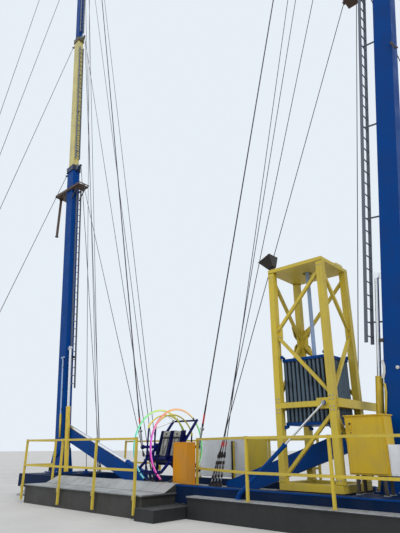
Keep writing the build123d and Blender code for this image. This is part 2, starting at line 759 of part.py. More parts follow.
front_left, front_right = (LEG_X[0], LEG_Y[0]), (LEG_X[1], LEG_Y[0])
rear_left, rear_right = (LEG_X[0], LEG_Y[1]), (LEG_X[1], LEG_Y[1])
ALONG_X, ALONG_Y = Vector(1, 0, 0), Vector(0, 1, 0)

with BuildPart() as tower_braces:
    add_brace_face(front_left, front_right, ALONG_Y)
    add_brace_face(rear_right, front_right, ALONG_X)
    add_brace_face(rear_left, front_left, ALONG_X)
    add_brace_face(rear_left, rear_right, ALONG_Y)
    for far_leg, side in ((front_left, ALONG_Y), (rear_right, ALONG_X)):
        bar(
            Vector(*front_right, side_ring_bottom - TOWER_BRACE),
            Vector(*far_leg, tower_base_top + TOWER_BRACE), TOWER_BRACE, TOWER_BRACE, side,
        )
    for corner in (front_left, front_right, rear_left, rear_right):
        leg_cut(*corner)
save(tower_braces, "tower_braces")

# Spring bank: the outer rows of coils, which hide the rest, between two roller plates
bank_half_x = (SPRING_COLUMNS - 1) / 2 * SPRING_COLUMN_PITCH
bank_half_y = (SPRING_ROWS - 1) / 2 * SPRING_ROW_PITCH
plate_half_x = bank_half_x + SPRING_RADIUS + SPRING_PLATE_MARGIN / 2
plate_half_y = bank_half_y + SPRING_RADIUS + SPRING_PLATE_MARGIN / 2


def bank_places():
    """The places of the springs of the outer rows, about the tower's middle."""
    places = []
    for column in range(SPRING_COLUMNS):
        for row in range(SPRING_ROWS):
            if column in (0, SPRING_COLUMNS - 1) or row in (0, SPRING_ROWS - 1):
                x = column * SPRING_COLUMN_PITCH - bank_half_x
                places.append((x, row * SPRING_ROW_PITCH - bank_half_y))
    return places


with BuildPart() as spring_bank:
    with BuildSketch(Plane(origin=tower_middle + Vector(0, 0, SPRING_BOTTOM))):
        with Locations(*bank_places()):
            Circle(SPRING_RADIUS)
    extrude(amount=SPRING_TOP - SPRING_BOTTOM)
save(spring_bank, "spring_bank")


def spring_plate(bottom, roller_z):
    """A plate over or under the springs, with four rollers that run on the tower's legs."""
    stem = ROLLER_STEM / 2
    stem_low, stem_high = sorted((roller_z, bottom + SPRING_PLATE / 2))
    with BuildPart() as plate:
        block(
            (tower_middle.X - plate_half_x, tower_middle.Y - plate_half_y, bottom),
            (tower_middle.X + plate_half_x, tower_middle.Y + plate_half_y, bottom + SPRING_PLATE),
        )
        for x in (LEG_X[0] + leg + ROLLER_RADIUS + SEAT, LEG_X[1] - leg - ROLLER_RADIUS - SEAT):
            for face in (-1, 1):
                roller_y = tower_middle.Y + face * (LEG_Y[1] - tower_middle.Y - leg / 3)
                stem_y = tower_middle.Y + face * (plate_half_y - ROLLER_WIDTH)
                disc(Vector(x, roller_y, roller_z), ROLLER_RADIUS, ROLLER_WIDTH)
                rod(
                    Vector(x, roller_y, roller_z), Vector(x, stem_y, roller_z), ROLLER_RADIUS / 2,
                    ALONG_X,
                )
                block((x - stem, stem_y - stem, stem_low), (x + stem, stem_y + stem, stem_high))
    return plate


save(spring_plate(SPRING_TOP, SPRING_TOP + SPRING_PLATE + ROLLER_RADIUS), "spring_upper_plate")
save(
    spring_plate(SPRING_BOTTOM - SPRING_PLATE, SPRING_BOTTOM - SPRING_PLATE - ROLLER_RADIUS),
    "spring_lower_plate",
)

with BuildPart() as spring_rod:
    rod(
        tower_middle + Vector(0, 0, SPRING_TOP + SPRING_PLATE),
        tower_middle + Vector(0, 0, TOWER_TOP + ROD_CAP_THICKNESS), TOWER_ROD_RADIUS,
    )
    cap_centre = tower_middle + Vector(0, 0, TOWER_TOP + ROD_CAP_THICKNESS / 2)
    disc(cap_centre, ROD_CAP_RADIUS, ROD_CAP_THICKNESS, Vector(0, 0, 1))
save(spring_rod, "spring_rod")

# Lamp box on the tower's front left corner, leaning to the left
LAMP_BASE = 150
LAMP_HEIGHT = 260
LAMP_TAPER = 22
LAMP_LEAN = 24
LAMP_FOOT = 100
LAMP_FOOT_HEIGHT = 60

lamp_x = TOWER_LEFT_X + LAMP_BASE / 2
lamp_y = TOWER_FRONT_Y + LAMP_BASE / 2
lamp_lean = math.radians(LAMP_LEAN)
with BuildPart() as tower_lamp:
    half = LAMP_FOOT / 2
    block(
        (lamp_x - half, lamp_y - half, TOWER_TOP),
        (lamp_x + half, lamp_y + half, TOWER_TOP + LAMP_FOOT_HEIGHT),
    )
    lamp_plane = Plane(
        origin=(lamp_x, lamp_y, TOWER_TOP + LAMP_FOOT_HEIGHT),
        x_dir=(math.cos(lamp_lean), 0, math.sin(lamp_lean)),
        z_dir=(-math.sin(lamp_lean), 0, math.cos(lamp_lean)),
    )
    with BuildSketch(lamp_plane) as lamp_base:
        Rectangle(LAMP_BASE, LAMP_BASE)
    extrude(lamp_base.sketch, amount=LAMP_HEIGHT, taper=-LAMP_TAPER)
save(tower_lamp, "tower_lamp")

# Cabinet beside the right mast, on a low stand
cabinet_rear = CABINET_FRONT_Y + CABINET_DEPTH
with BuildPart() as cabinet_stand:
    for x in (CABINET_LEFT_X + STAND_INSET_X, CABINET_RIGHT_X - STAND_INSET_X):
        for y in (CABINET_FRONT_Y + STAND_INSET_Y, cabinet_rear - STAND_INSET_Y):
            foot = Vector(x, y, FRAME_TOP)
            bar(foot, Vector(x, y, CABINET_BOTTOM), STAND_POST, STAND_POST)
save(cabinet_stand, "cabinet_stand")

with BuildPart() as cabinet_body:
    block(
        (CABINET_LEFT_X, CABINET_FRONT_Y, CABINET_BOTTOM),
        (CABINET_RIGHT_X, cabinet_rear, CABINET_TOP),
    )
    block(
        (CABINET_LEFT_X - CABINET_CAP_OVERHANG, CABINET_FRONT_Y - CABINET_CAP_OVERHANG, CABINET_TOP),
        (CABINET_RIGHT_X + CABINET_CAP_OVERHANG, cabinet_rear + CABINET_CAP_OVERHANG,
         CABINET_TOP + CABINET_CAP),
    )
    block(
        (CABINET_LEFT_X + DOOR_FLANGE, CABINET_FRONT_Y, CABINET_BOTTOM + DOOR_FLANGE),
        (CABINET_RIGHT_X - DOOR_FLANGE, CABINET_FRONT_Y + CABINET_WALL, CABINET_TOP - DOOR_FLANGE),
        mode=Mode.SUBTRACT,
    )
    block(
        (CABINET_LEFT_X + CABINET_WALL, CABINET_FRONT_Y + CABINET_WALL,
         CABINET_BOTTOM + CABINET_WALL),
        (CABINET_RIGHT_X - CABINET_WALL, cabinet_rear - CABINET_WALL, CABINET_TOP - CABINET_WALL),
        mode=Mode.SUBTRACT,
    )
save(cabinet_body, "cabinet_body")

door_left = CABINET_LEFT_X + DOOR_MARGIN
door_right = CABINET_RIGHT_X - DOOR_MARGIN
door_bottom = CABINET_BOTTOM + DOOR_MARGIN
door_top = CABINET_TOP - DOOR_MARGIN
door_front = CABINET_FRONT_Y - SEAT - DOOR_THICKNESS
with BuildPart() as cabinet_door:
    block((door_left, door_front, door_bottom), (door_right, CABINET_FRONT_Y - SEAT, door_top))
    handle_x = door_left + HANDLE_INSET
    handle_z = door_bottom + HANDLE_HEIGHT_SHARE * (door_top - door_bottom)
    handle_width, handle_reach, handle_height = HANDLE_SIZE
    block(
        (handle_x, door_front - handle_reach, handle_z),
        (handle_x + handle_width, door_front, handle_z + handle_height),
    )
    for share in KNUCKLE_SHARES:
        knuckle_z = door_bottom + share * (door_top - door_bottom)
        knuckle = Vector(door_right, door_front + DOOR_THICKNESS / 2, knuckle_z)
        disc(knuckle, KNUCKLE_RADIUS, KNUCKLE_LENGTH, Vector(0, 0, 1))
save(cabinet_door, "cabinet_door")

with BuildPart() as grey_box:
    box_front = CABINET_FRONT_Y + GREY_BOX_SETBACK
    block(
        (CABINET_RIGHT_X + SEAT, box_front, CABINET_BOTTOM),
        (CABINET_RIGHT_X + GREY_BOX_WIDTH, box_front + GREY_BOX_DEPTH,
         CABINET_BOTTOM + GREY_BOX_HEIGHT),
    )
save(grey_box, "grey_box")

with BuildPart() as control_desk:
    block(
        (DESK_LEFT_X, DESK_FRONT_Y, DECK_TOP),
        (DESK_LEFT_X + DESK_WIDTH, DESK_FRONT_Y + DESK_DEPTH, DECK_TOP + DESK_HEIGHT),
    )
save(control_desk, "control_desk")

# Capsule: two outer hoops, two roll bars, side frames with pivot arms, cross tubes and seats
pivot = Vector(0, CAPSULE_Y, CAPSULE_Z)


def on_hoop(x, radius, angle):
    """A point at a radius about the capsule's pivot line, the angle taken from the front, upward."""
    turn = math.radians(angle)
    return Vector(x, CAPSULE_Y - radius * math.cos(turn), CAPSULE_Z + radius * math.sin(turn))


def hoop(x, radius, tube_radius, start=0, sweep=360):
    """Adds a round hoop square to X, or an arc of it, to the piece in hand."""
    centre = pivot + Vector(x, 0, 0)
    outward = (on_hoop(x, radius, start) - centre).normalized()
    plane = Plane(origin=centre, x_dir=outward, z_dir=outward.cross(ALONG_X))
    with BuildSketch(plane) as ring:
        with Locations((radius, 0)):
            Circle(tube_radius)
    revolve(ring.sketch, axis=Axis(centre, (-1, 0, 0)), revolution_arc=sweep)


for side, name in SIDES:
    with BuildPart() as outer_hoop:
        hoop(side * HOOP_HALF_SPACING, HOOP_RADIUS, HOOP_TUBE_RADIUS)
    save(outer_hoop, f"{name}_hoop")

# Seat shells and cushions, in (y, z) about the pivot line, set back so that the capsule hangs level
SEAT_SHIFT = 7
SEAT_PAN = ((-440, -240), (-20, -320))
SEAT_BACK = ((-20, -320), (170, 400))
SEAT_REAR = ((60, -395), (230, 400))
SEAT_SOLE = ((-480, -270), (-480, -310), (-60, -395))
SEAT_SIDE = ((-480, -215), (-430, -190), (-140, -245), (-95, -180), (75, 400))
SEAT_PADS = ((SEAT_PAN, 20, 350, 45), (SEAT_BACK, 90, 540, 45), (SEAT_BACK, 570, 730, 60))
BACK_TUBE_SHARE = 0.843


def off_line(line, along, up):
    """A point (y, z) along a line from its start and up off its left side, in the ride's frame."""
    (y1, z1), (y2, z2) = line
    length = math.dist(*line)
    run_y, run_z = (y2 - y1) / length, (z2 - z1) / length
    y = y1 + along * run_y - up * run_z
    return CAPSULE_Y + SEAT_SHIFT + y, CAPSULE_Z + z1 + along * run_z + up * run_y


def seat_slab(points, low_x, high_x):
    """Adds an outline in (y, z), run from one X to another, to the piece in hand."""
    with BuildSketch(Plane.YZ.offset(low_x)) as outline:
        Polygon(*points, align=None)
    extrude(outline.sketch, amount=high_x - low_x)


def about_pivot(*points):
    """Seat points given about the pivot line, in the ride's frame."""
    return [(CAPSULE_Y + SEAT_SHIFT + y, CAPSULE_Z + z) for y, z in points]


# The side frames: spokes at these angles, the last one through the tube behind the seats
rear_length = math.dist(*SEAT_REAR)
back_tube = off_line(SEAT_REAR, BACK_TUBE_SHARE * rear_length, -CROSS_TUBE_RADIUS - SEAT)
back_tube_y, back_tube_z = back_tube[0] - CAPSULE_Y, back_tube[1] - CAPSULE_Z
back_tube_angle = math.degrees(math.atan2(back_tube_z, -back_tube_y))
SPOKE_ANGLES = (-40, -90, -140, back_tube_angle)
hoop_seat = HOOP_RADIUS - HOOP_TUBE_RADIUS - SEAT - CROSS_TUBE_RADIUS
pan_seat = SEAT + CROSS_TUBE_RADIUS - SEAT_REAR[0][1]
CROSS_TUBES = [(hoop_seat, angle) for angle in SPOKE_ANGLES]
CROSS_TUBES += [(pan_seat, -90), (math.hypot(back_tube_y, back_tube_z), back_tube_angle)]
ROLL_BAR_POSTS = ((ROLL_BAR_START, -40), (ROLL_BAR_END, -140))


def roll_bar_post(x, top_angle, foot_angle):
    """The top of a roll bar post, the foot it stands on and the direction down."""
    top = on_hoop(x, ROLL_BAR_RADIUS, top_angle)
    foot = on_hoop(x, hoop_seat, foot_angle)
    return top, foot, (foot - top).normalized()


pin_tip = PIVOT_X + YOKE_GAP + YOKE_THICKNESS + SEAT
with BuildPart() as capsule_frame:
    for side in (-1, 1):
        inner_face = side * SIDE_FRAME_X - FRAME_TUBE_RADIUS
        with BuildSketch(Plane(origin=(inner_face, CAPSULE_Y, CAPSULE_Z), x_dir=(0, -1, 0),
                               z_dir=(1, 0, 0))) as spider:
            Circle(HUB_RADIUS)
            for angle in SPOKE_ANGLES:
                with Locations(Rotation(0, 0, -angle)):
                    Rectangle(
                        hoop_seat + CROSS_TUBE_RADIUS + SPOKE_TIP, 2 * FRAME_TUBE_RADIUS,
                        align=(Align.MIN, Align.CENTER),
                    )
        extrude(spider.sketch, amount=2 * FRAME_TUBE_RADIUS)
        rod(
            pivot + Vector(side * SIDE_FRAME_X, 0, 0), pivot + Vector(side * PIVOT_X, 0, 0),
            SIDE_ARM_RADIUS,
        )
        rod(
            pivot + Vector(side * PIVOT_X, 0, 0), pivot + Vector(side * pin_tip, 0, 0),
            PIVOT_RADIUS,
        )
    for radius, angle in CROSS_TUBES:
        start = on_hoop(-SIDE_FRAME_X, radius, angle)
        rod(start, on_hoop(SIDE_FRAME_X, radius, angle), CROSS_TUBE_RADIUS)
    for x in (-ROLL_BAR_HALF_SPACING, ROLL_BAR_HALF_SPACING):
        for top_angle, foot_angle in ROLL_BAR_POSTS:
            top, foot, down = roll_bar_post(x, top_angle, foot_angle)
            rod(top + down * (ROLL_BAR_FERRULE + SEAT), foot, POST_RADIUS, ALONG_X)
save(capsule_frame, "capsule_frame")

with BuildPart() as roll_bars:
    for x in (-ROLL_BAR_HALF_SPACING, ROLL_BAR_HALF_SPACING):
        sweep = ROLL_BAR_END - ROLL_BAR_START
        hoop(x, ROLL_BAR_RADIUS, ROLL_BAR_TUBE_RADIUS, ROLL_BAR_START, sweep)
        for top_angle, foot_angle in ROLL_BAR_POSTS:
            top, foot, down = roll_bar_post(x, top_angle, foot_angle)
            rod(top - down * ROLL_BAR_TUBE_RADIUS, top + down * ROLL_BAR_FERRULE,
                FRAME_TUBE_RADIUS, ALONG_X)
save(roll_bars, "capsule_roll_bars")

# Links that the ropes pull on, one at each pivot, leaning outward
yoke_x = PIVOT_X + YOKE_GAP + YOKE_THICKNESS / 2
with BuildPart() as capsule_yokes:
    for side in (-1, 1):
        centre = Vector(side * yoke_x, CAPSULE_Y, CAPSULE_Z)
        eye = Vector(side * YOKE_EYE_X, CAPSULE_Y, YOKE_EYE_Z)
        disc(centre, YOKE_BOSS_RADIUS, YOKE_THICKNESS, ALONG_X)
        bar(centre, eye, YOKE_BAR_WIDTH, YOKE_THICKNESS)
        disc(eye, EYE_RADIUS, EYE_THICKNESS)
        disc(centre, PIVOT_RADIUS + PIVOT_CLEARANCE, 2 * YOKE_THICKNESS, ALONG_X, Mode.SUBTRACT)
save(capsule_yokes, "capsule_yokes")

# Seats: a shell with raised sides, and its cushions
shell_outline = about_pivot(
    SEAT_SOLE[0], *SEAT_PAN, SEAT_BACK[1], SEAT_REAR[1], SEAT_REAR[0], SEAT_SOLE[2], SEAT_SOLE[1],
)
side_outline = about_pivot(
    *SEAT_SIDE, SEAT_REAR[1], SEAT_REAR[0], SEAT_SOLE[2], SEAT_SOLE[1],
)
for side, name in SIDES:
    low_x = side * SEAT_HALF_SPACING - SEAT_WIDTH / 2
    high_x = low_x + SEAT_WIDTH
    with BuildPart() as seat:
        seat_slab(shell_outline, low_x, high_x)
        seat_slab(side_outline, low_x, low_x + SEAT_CHEEK)
        seat_slab(side_outline, high_x - SEAT_CHEEK, high_x)
    save(seat, f"{name}_seat")

with BuildPart() as seat_pads:
    for side in (-1, 1):
        pad_half = SEAT_WIDTH / 2 - SEAT_CHEEK - PAD_SIDE_GAP
        for line, start, end, thickness in SEAT_PADS:
            corners = ((start, SEAT), (end, SEAT), (end, thickness), (start, thickness))
            outline = [off_line(line, along, up) for along, up in corners]
            middle_x = side * SEAT_HALF_SPACING
            seat_slab(outline, middle_x - pad_half, middle_x + pad_half)
save(seat_pads, "seat_pads")

# Ropes and guys, all taut
GUY_ANCHOR_SPREAD = 3 * EYE_RADIUS


def guy_anchor_eye(side, face, index):
    """The ground eye of a guy: the lowest guy has a nearer anchor than the other three."""
    if index == 0:
        x, y = GUY_ANCHOR_NEAR
    else:
        x, y = GUY_ANCHOR_FAR
        x += (index - 2) * GUY_ANCHOR_SPREAD
    return Vector(side * x, face * y, ANCHOR_EYE_Z)


def guy_start(side, face, index):
    """The head end of a guy: the outer eye, or the inner one for the lower rear guys."""
    inner, outer = arm_eyes(side, collar_along(index), collar_half_width(index))
    lower_rear = face > 0 and index < len(SECTION_HEADS) - 1
    return (inner if lower_rear else outer) + Vector(0, face * (GUY_RADIUS + SEAT), 0)


with BuildPart() as guys:
    for side in (-1, 1):
        for face in (-1, 1):
            for index in range(len(SECTION_HEADS)):
                start = guy_start(side, face, index)
                rope(start, guy_anchor_eye(side, face, index), GUY_RADIUS)
save(guys, "guys")

with BuildPart() as guy_anchors:
    for side in (-1, 1):
        for face in (-1, 1):
            for reach_x, reach_y in (GUY_ANCHOR_NEAR, GUY_ANCHOR_FAR):
                x, y, half = side * reach_x, face * reach_y, ANCHOR_PLATE / 2
                block((x - half, y - half, 0), (x + half, y + half, ANCHOR_PLATE_THICKNESS))
            for index in range(len(SECTION_HEADS)):
                eye = guy_anchor_eye(side, face, index)
                disc(eye, EYE_RADIUS, EYE_THICKNESS)
                foot = Vector(eye.X, eye.Y, ANCHOR_PLATE_THICKNESS)
                bar(foot, eye, EYE_THICKNESS, EYE_RADIUS)
save(guy_anchors, "guy_anchors")


def deck_eye(side, place):
    """One of the four eyes on the deck that a mast's rope set comes down to."""
    y = ROPE_ANCHOR_Y + (place - 1.5) * ROPE_ANCHOR_FAN
    return Vector(side * ROPE_ANCHOR_X, y, ROPE_ANCHOR_EYE_Z)


with BuildPart() as rope_sets:
    for side in (-1, 1):
        tops = [work_platform_eye(side)]
        for index in (1, 2):
            tops.append(arm_eyes(side, collar_along(index), collar_half_width(index))[0])
        tops.append(second_eye(side))
        for place, top in enumerate(tops):
            rope(top - Vector(0, ROPE_RADIUS + SEAT, 0), deck_eye(side, place), ROPE_RADIUS)
save(rope_sets, "rope_sets")

with BuildPart() as rope_anchors:
    for side in (-1, 1):
        half_length = 2.5 * ROPE_ANCHOR_FAN
        half_width = ROPE_ANCHOR_PLATE_WIDTH / 2
        x = side * ROPE_ANCHOR_X
        plate_top = DECK_TOP + ROPE_ANCHOR_PLATE_THICKNESS
        block(
            (x - half_width, ROPE_ANCHOR_Y - half_length, DECK_TOP),
            (x + half_width, ROPE_ANCHOR_Y + half_length, plate_top),
        )
        for place in range(4):
            eye = deck_eye(side, place)
            disc(eye, EYE_RADIUS, EYE_THICKNESS)
            bar(Vector(eye.X, eye.Y, plate_top), eye, EYE_THICKNESS, EYE_RADIUS)
save(rope_anchors, "rope_anchors")


def haul_foot(side):
    """The eye beside a mast that its haul rope comes down to."""
    return Vector(side * HAUL_FOOT_X, HAUL_FOOT_Y[side], HAUL_FOOT_Z)


with BuildPart() as haul_blocks:
    haul_top_z = FRAME_TOP + HAUL_BEAM_HEIGHT
    for side in (-1, 1):
        foot = haul_foot(side)
        disc(foot, EYE_RADIUS, EYE_THICKNESS)
        bar(Vector(foot.X, foot.Y, haul_top_z), foot, EYE_THICKNESS, EYE_RADIUS)
    for side, low_x, high_x in (
        (-1, -HAUL_FOOT_X - CROSS_WIDTH / 2, -HAUL_FOOT_X + CROSS_WIDTH / 2),
        (1, TOWER_LEFT_X, TOWER_RIGHT_X),
    ):
        y = HAUL_FOOT_Y[side]
        block(
            (low_x, y - HAUL_BEAM_HALF_WIDTH, FRAME_TOP),
            (high_x, y + HAUL_BEAM_HALF_WIDTH, haul_top_z),
        )
save(haul_blocks, "haul_blocks")

with BuildPart() as lifting_ropes:
    for side in (-1, 1):
        top = arm_eyes(side, collar_along(-1), collar_half_width(-1))[0]
        eye = Vector(side * YOKE_EYE_X, CAPSULE_Y, YOKE_EYE_Z)
        for shift in (-1, 1):
            offset = Vector(0, shift * (ROPE_RADIUS + SEAT), 0)
            rope(top + offset, eye + offset, ROPE_RADIUS)
        haul_top = top + Vector(0, 3 * (ROPE_RADIUS + SEAT), 0)
        rope(haul_top, haul_foot(side), ROPE_RADIUS)
save(lifting_ropes, "lifting_ropes")

# Inclined girders from the masts down to the deck, and the jacks beside them
GIRDER_TOP_ALONG = 2090
GIRDER_BOTTOM_ALONG = 1640
GIRDER_SLOPE = 0.342
GIRDER_END_X = 1500
GIRDER_Y = 90
GIRDER_WIDTH = 120
JACK_ROD_RADIUS = 55
JACK_BARREL_RADIUS = 75
JACK_EMBED = 5
JACK_SETBACK = 10
JACK_BARREL_START = 3500
JACK_LENGTH = 4400
STRUT_FOOT = (2920, -1330, 520)
STRUT_EYE_RADIUS = 45
STRUT_EYE_THICKNESS = 40
STRUT_ROD_RADIUS = 20
STRUT_BARREL_RADIUS = 42
STRUT_BARREL_SHARE = 0.45
STRUT_LUG_HALF_LENGTH = 50
STRUT_LUG_HALF_WIDTH = 30


def girder_top(side):
    """The upper corner of a girder, at its mast's inner face."""
    return mast_point(side, GIRDER_TOP_ALONG, -SECTION_WIDTHS[0] / 2 - SEAT)


def add_girder(side):
    """Adds a girder that leans on its mast and stands on the deck to the piece in hand."""
    top = girder_top(side)
    bottom = mast_point(side, GIRDER_BOTTOM_ALONG, -SECTION_WIDTHS[0] / 2 - SEAT)
    floor = DECK_TOP + SEAT
    end_z = top.Z - GIRDER_SLOPE * (abs(top.X) - GIRDER_END_X)
    sole_x = abs(bottom.X) - (bottom.Z - floor) / GIRDER_SLOPE
    with BuildSketch(Plane.XZ.offset(GIRDER_WIDTH / 2 - GIRDER_Y)) as outline:
        Polygon(
            (top.X, top.Z), (side * GIRDER_END_X, end_z), (side * GIRDER_END_X, floor),
            (side * sole_x, floor), (bottom.X, bottom.Z), align=None,
        )
    extrude(outline.sketch, amount=-GIRDER_WIDTH)


with BuildPart() as inclined_struts:
    for side in (-1, 1):
        add_girder(side)
    slope_run = Vector(1, 0, -GIRDER_SLOPE).normalized()
    slope_up = Vector(GIRDER_SLOPE, 0, 1).normalized()
    jack_start = girder_top(-1) + Vector(0, GIRDER_Y, 0) + slope_run * JACK_SETBACK
    jack_start += slope_up * (JACK_ROD_RADIUS - JACK_EMBED)
    rod(jack_start, jack_start + slope_run * JACK_BARREL_START, JACK_ROD_RADIUS)
    rod(
        jack_start + slope_run * JACK_BARREL_START, jack_start + slope_run * JACK_LENGTH,
        JACK_BARREL_RADIUS,
    )
    strut_y = TOWER_FRONT_Y - RING_PIN_LENGTH - SEAT - STRUT_EYE_THICKNESS / 2
    strut_top = Vector(RING_PIN_X, strut_y, TOWER_RING_Z)
    strut_foot = Vector(*STRUT_FOOT)
    strut_middle = strut_top + (strut_foot - strut_top) * STRUT_BARREL_SHARE
    disc(strut_top, STRUT_EYE_RADIUS, STRUT_EYE_THICKNESS)
    rod(strut_top, strut_middle, STRUT_ROD_RADIUS)
    rod(strut_middle, strut_foot, STRUT_BARREL_RADIUS)
    block(
        (strut_foot.X - STRUT_LUG_HALF_LENGTH, strut_foot.Y - STRUT_LUG_HALF_WIDTH,
         RIGHT_DECK_TOP),
        (strut_foot.X + STRUT_LUG_HALF_LENGTH, strut_foot.Y + STRUT_LUG_HALF_WIDTH, strut_foot.Z),
    )
save(inclined_struts, "inclined_struts")
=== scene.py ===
"""Looks of the reverse bungee ride: materials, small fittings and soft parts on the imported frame.

Metres. The frame's origin is on the ground midway between the masts, +X to the right mast,
+Y to the rear and +Z up.
"""

import json
import math

import bmesh
import bpy
from mathutils import Matrix, Vector


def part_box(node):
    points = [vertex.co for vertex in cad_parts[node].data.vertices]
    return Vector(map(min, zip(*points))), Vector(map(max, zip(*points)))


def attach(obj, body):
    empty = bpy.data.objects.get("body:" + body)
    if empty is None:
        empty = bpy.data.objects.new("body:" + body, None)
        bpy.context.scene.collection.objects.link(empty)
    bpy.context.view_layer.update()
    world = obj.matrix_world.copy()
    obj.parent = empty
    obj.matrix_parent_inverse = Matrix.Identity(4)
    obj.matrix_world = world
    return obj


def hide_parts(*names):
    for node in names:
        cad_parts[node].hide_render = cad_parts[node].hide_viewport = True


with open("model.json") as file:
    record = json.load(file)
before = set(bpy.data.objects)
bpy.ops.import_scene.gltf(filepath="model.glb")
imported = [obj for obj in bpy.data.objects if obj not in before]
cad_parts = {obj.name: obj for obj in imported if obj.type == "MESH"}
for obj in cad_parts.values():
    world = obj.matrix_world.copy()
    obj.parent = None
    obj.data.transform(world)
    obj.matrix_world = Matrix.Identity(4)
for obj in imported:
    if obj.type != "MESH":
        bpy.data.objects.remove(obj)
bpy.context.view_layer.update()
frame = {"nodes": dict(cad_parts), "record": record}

# The frame's driving dimensions, as the CAD has them
MAST_FOOT_X = 5.7
MAST_LEAN = math.radians(6.3)
SECTION_WIDTHS = (0.44, 0.36, 0.30, 0.25)
SECTION_DEPTHS = (0.34, 0.28, 0.23, 0.19)
SECTION_HEADS = (13.4, 21.8, 30.2, 38.5)
CAPSULE_CENTRE = Vector((0, -0.5, 1.45))
CYLINDER_SLEEVE_TOP = 2.795
SIDES = ((-1, "left"), (1, "right"))
DECK_TOP = 0.475
FRAME_TOP = 0.64
ALONG_X, ALONG_Y, UP = Vector((1, 0, 0)), Vector((0, 1, 0)), Vector((0, 0, 1))


# Colours


def srgb(red, green, blue):
    """A colour given as it shows on a screen, 0 to 255, as the linear colour that a shader takes."""
    def linear(value):
        value /= 255
        return value / 12.92 if value <= 0.04045 else ((value + 0.055) / 1.055) ** 2.4
    return (linear(red), linear(green), linear(blue), 1)


def darker(colour, share):
    """A colour at a share of its brightness."""
    return tuple(c * share for c in colour[:3]) + (1,)


def blended(first, second, share):
    """A colour between two others."""
    return tuple(a + (b - a) * share for a, b in zip(first[:3], second[:3])) + (1,)


BLACK, WHITE = (0, 0, 0, 1), (1, 1, 1, 1)
RUST, GRIME, SOOT = srgb(96, 48, 24), srgb(52, 46, 38), srgb(34, 30, 28)
BLUE, YELLOW, KHAKI = srgb(0, 64, 136), srgb(206, 182, 62), srgb(206, 192, 116)
DEEP_BLUE, DULL_KHAKI = srgb(16, 52, 104), srgb(118, 108, 66)
DECK_SHEET = srgb(174, 176, 175)


# Materials

GRAIN = (1, 1, 30)
LOZENGE_PITCH, LOZENGE_SHAPE = 0.046, (2.9, 9.5, 0)
WORN_EDGE = 0.006
ROPE_TURNS = 30
LAMP_BEADS, LAMP_STRENGTH = 52, 0.85


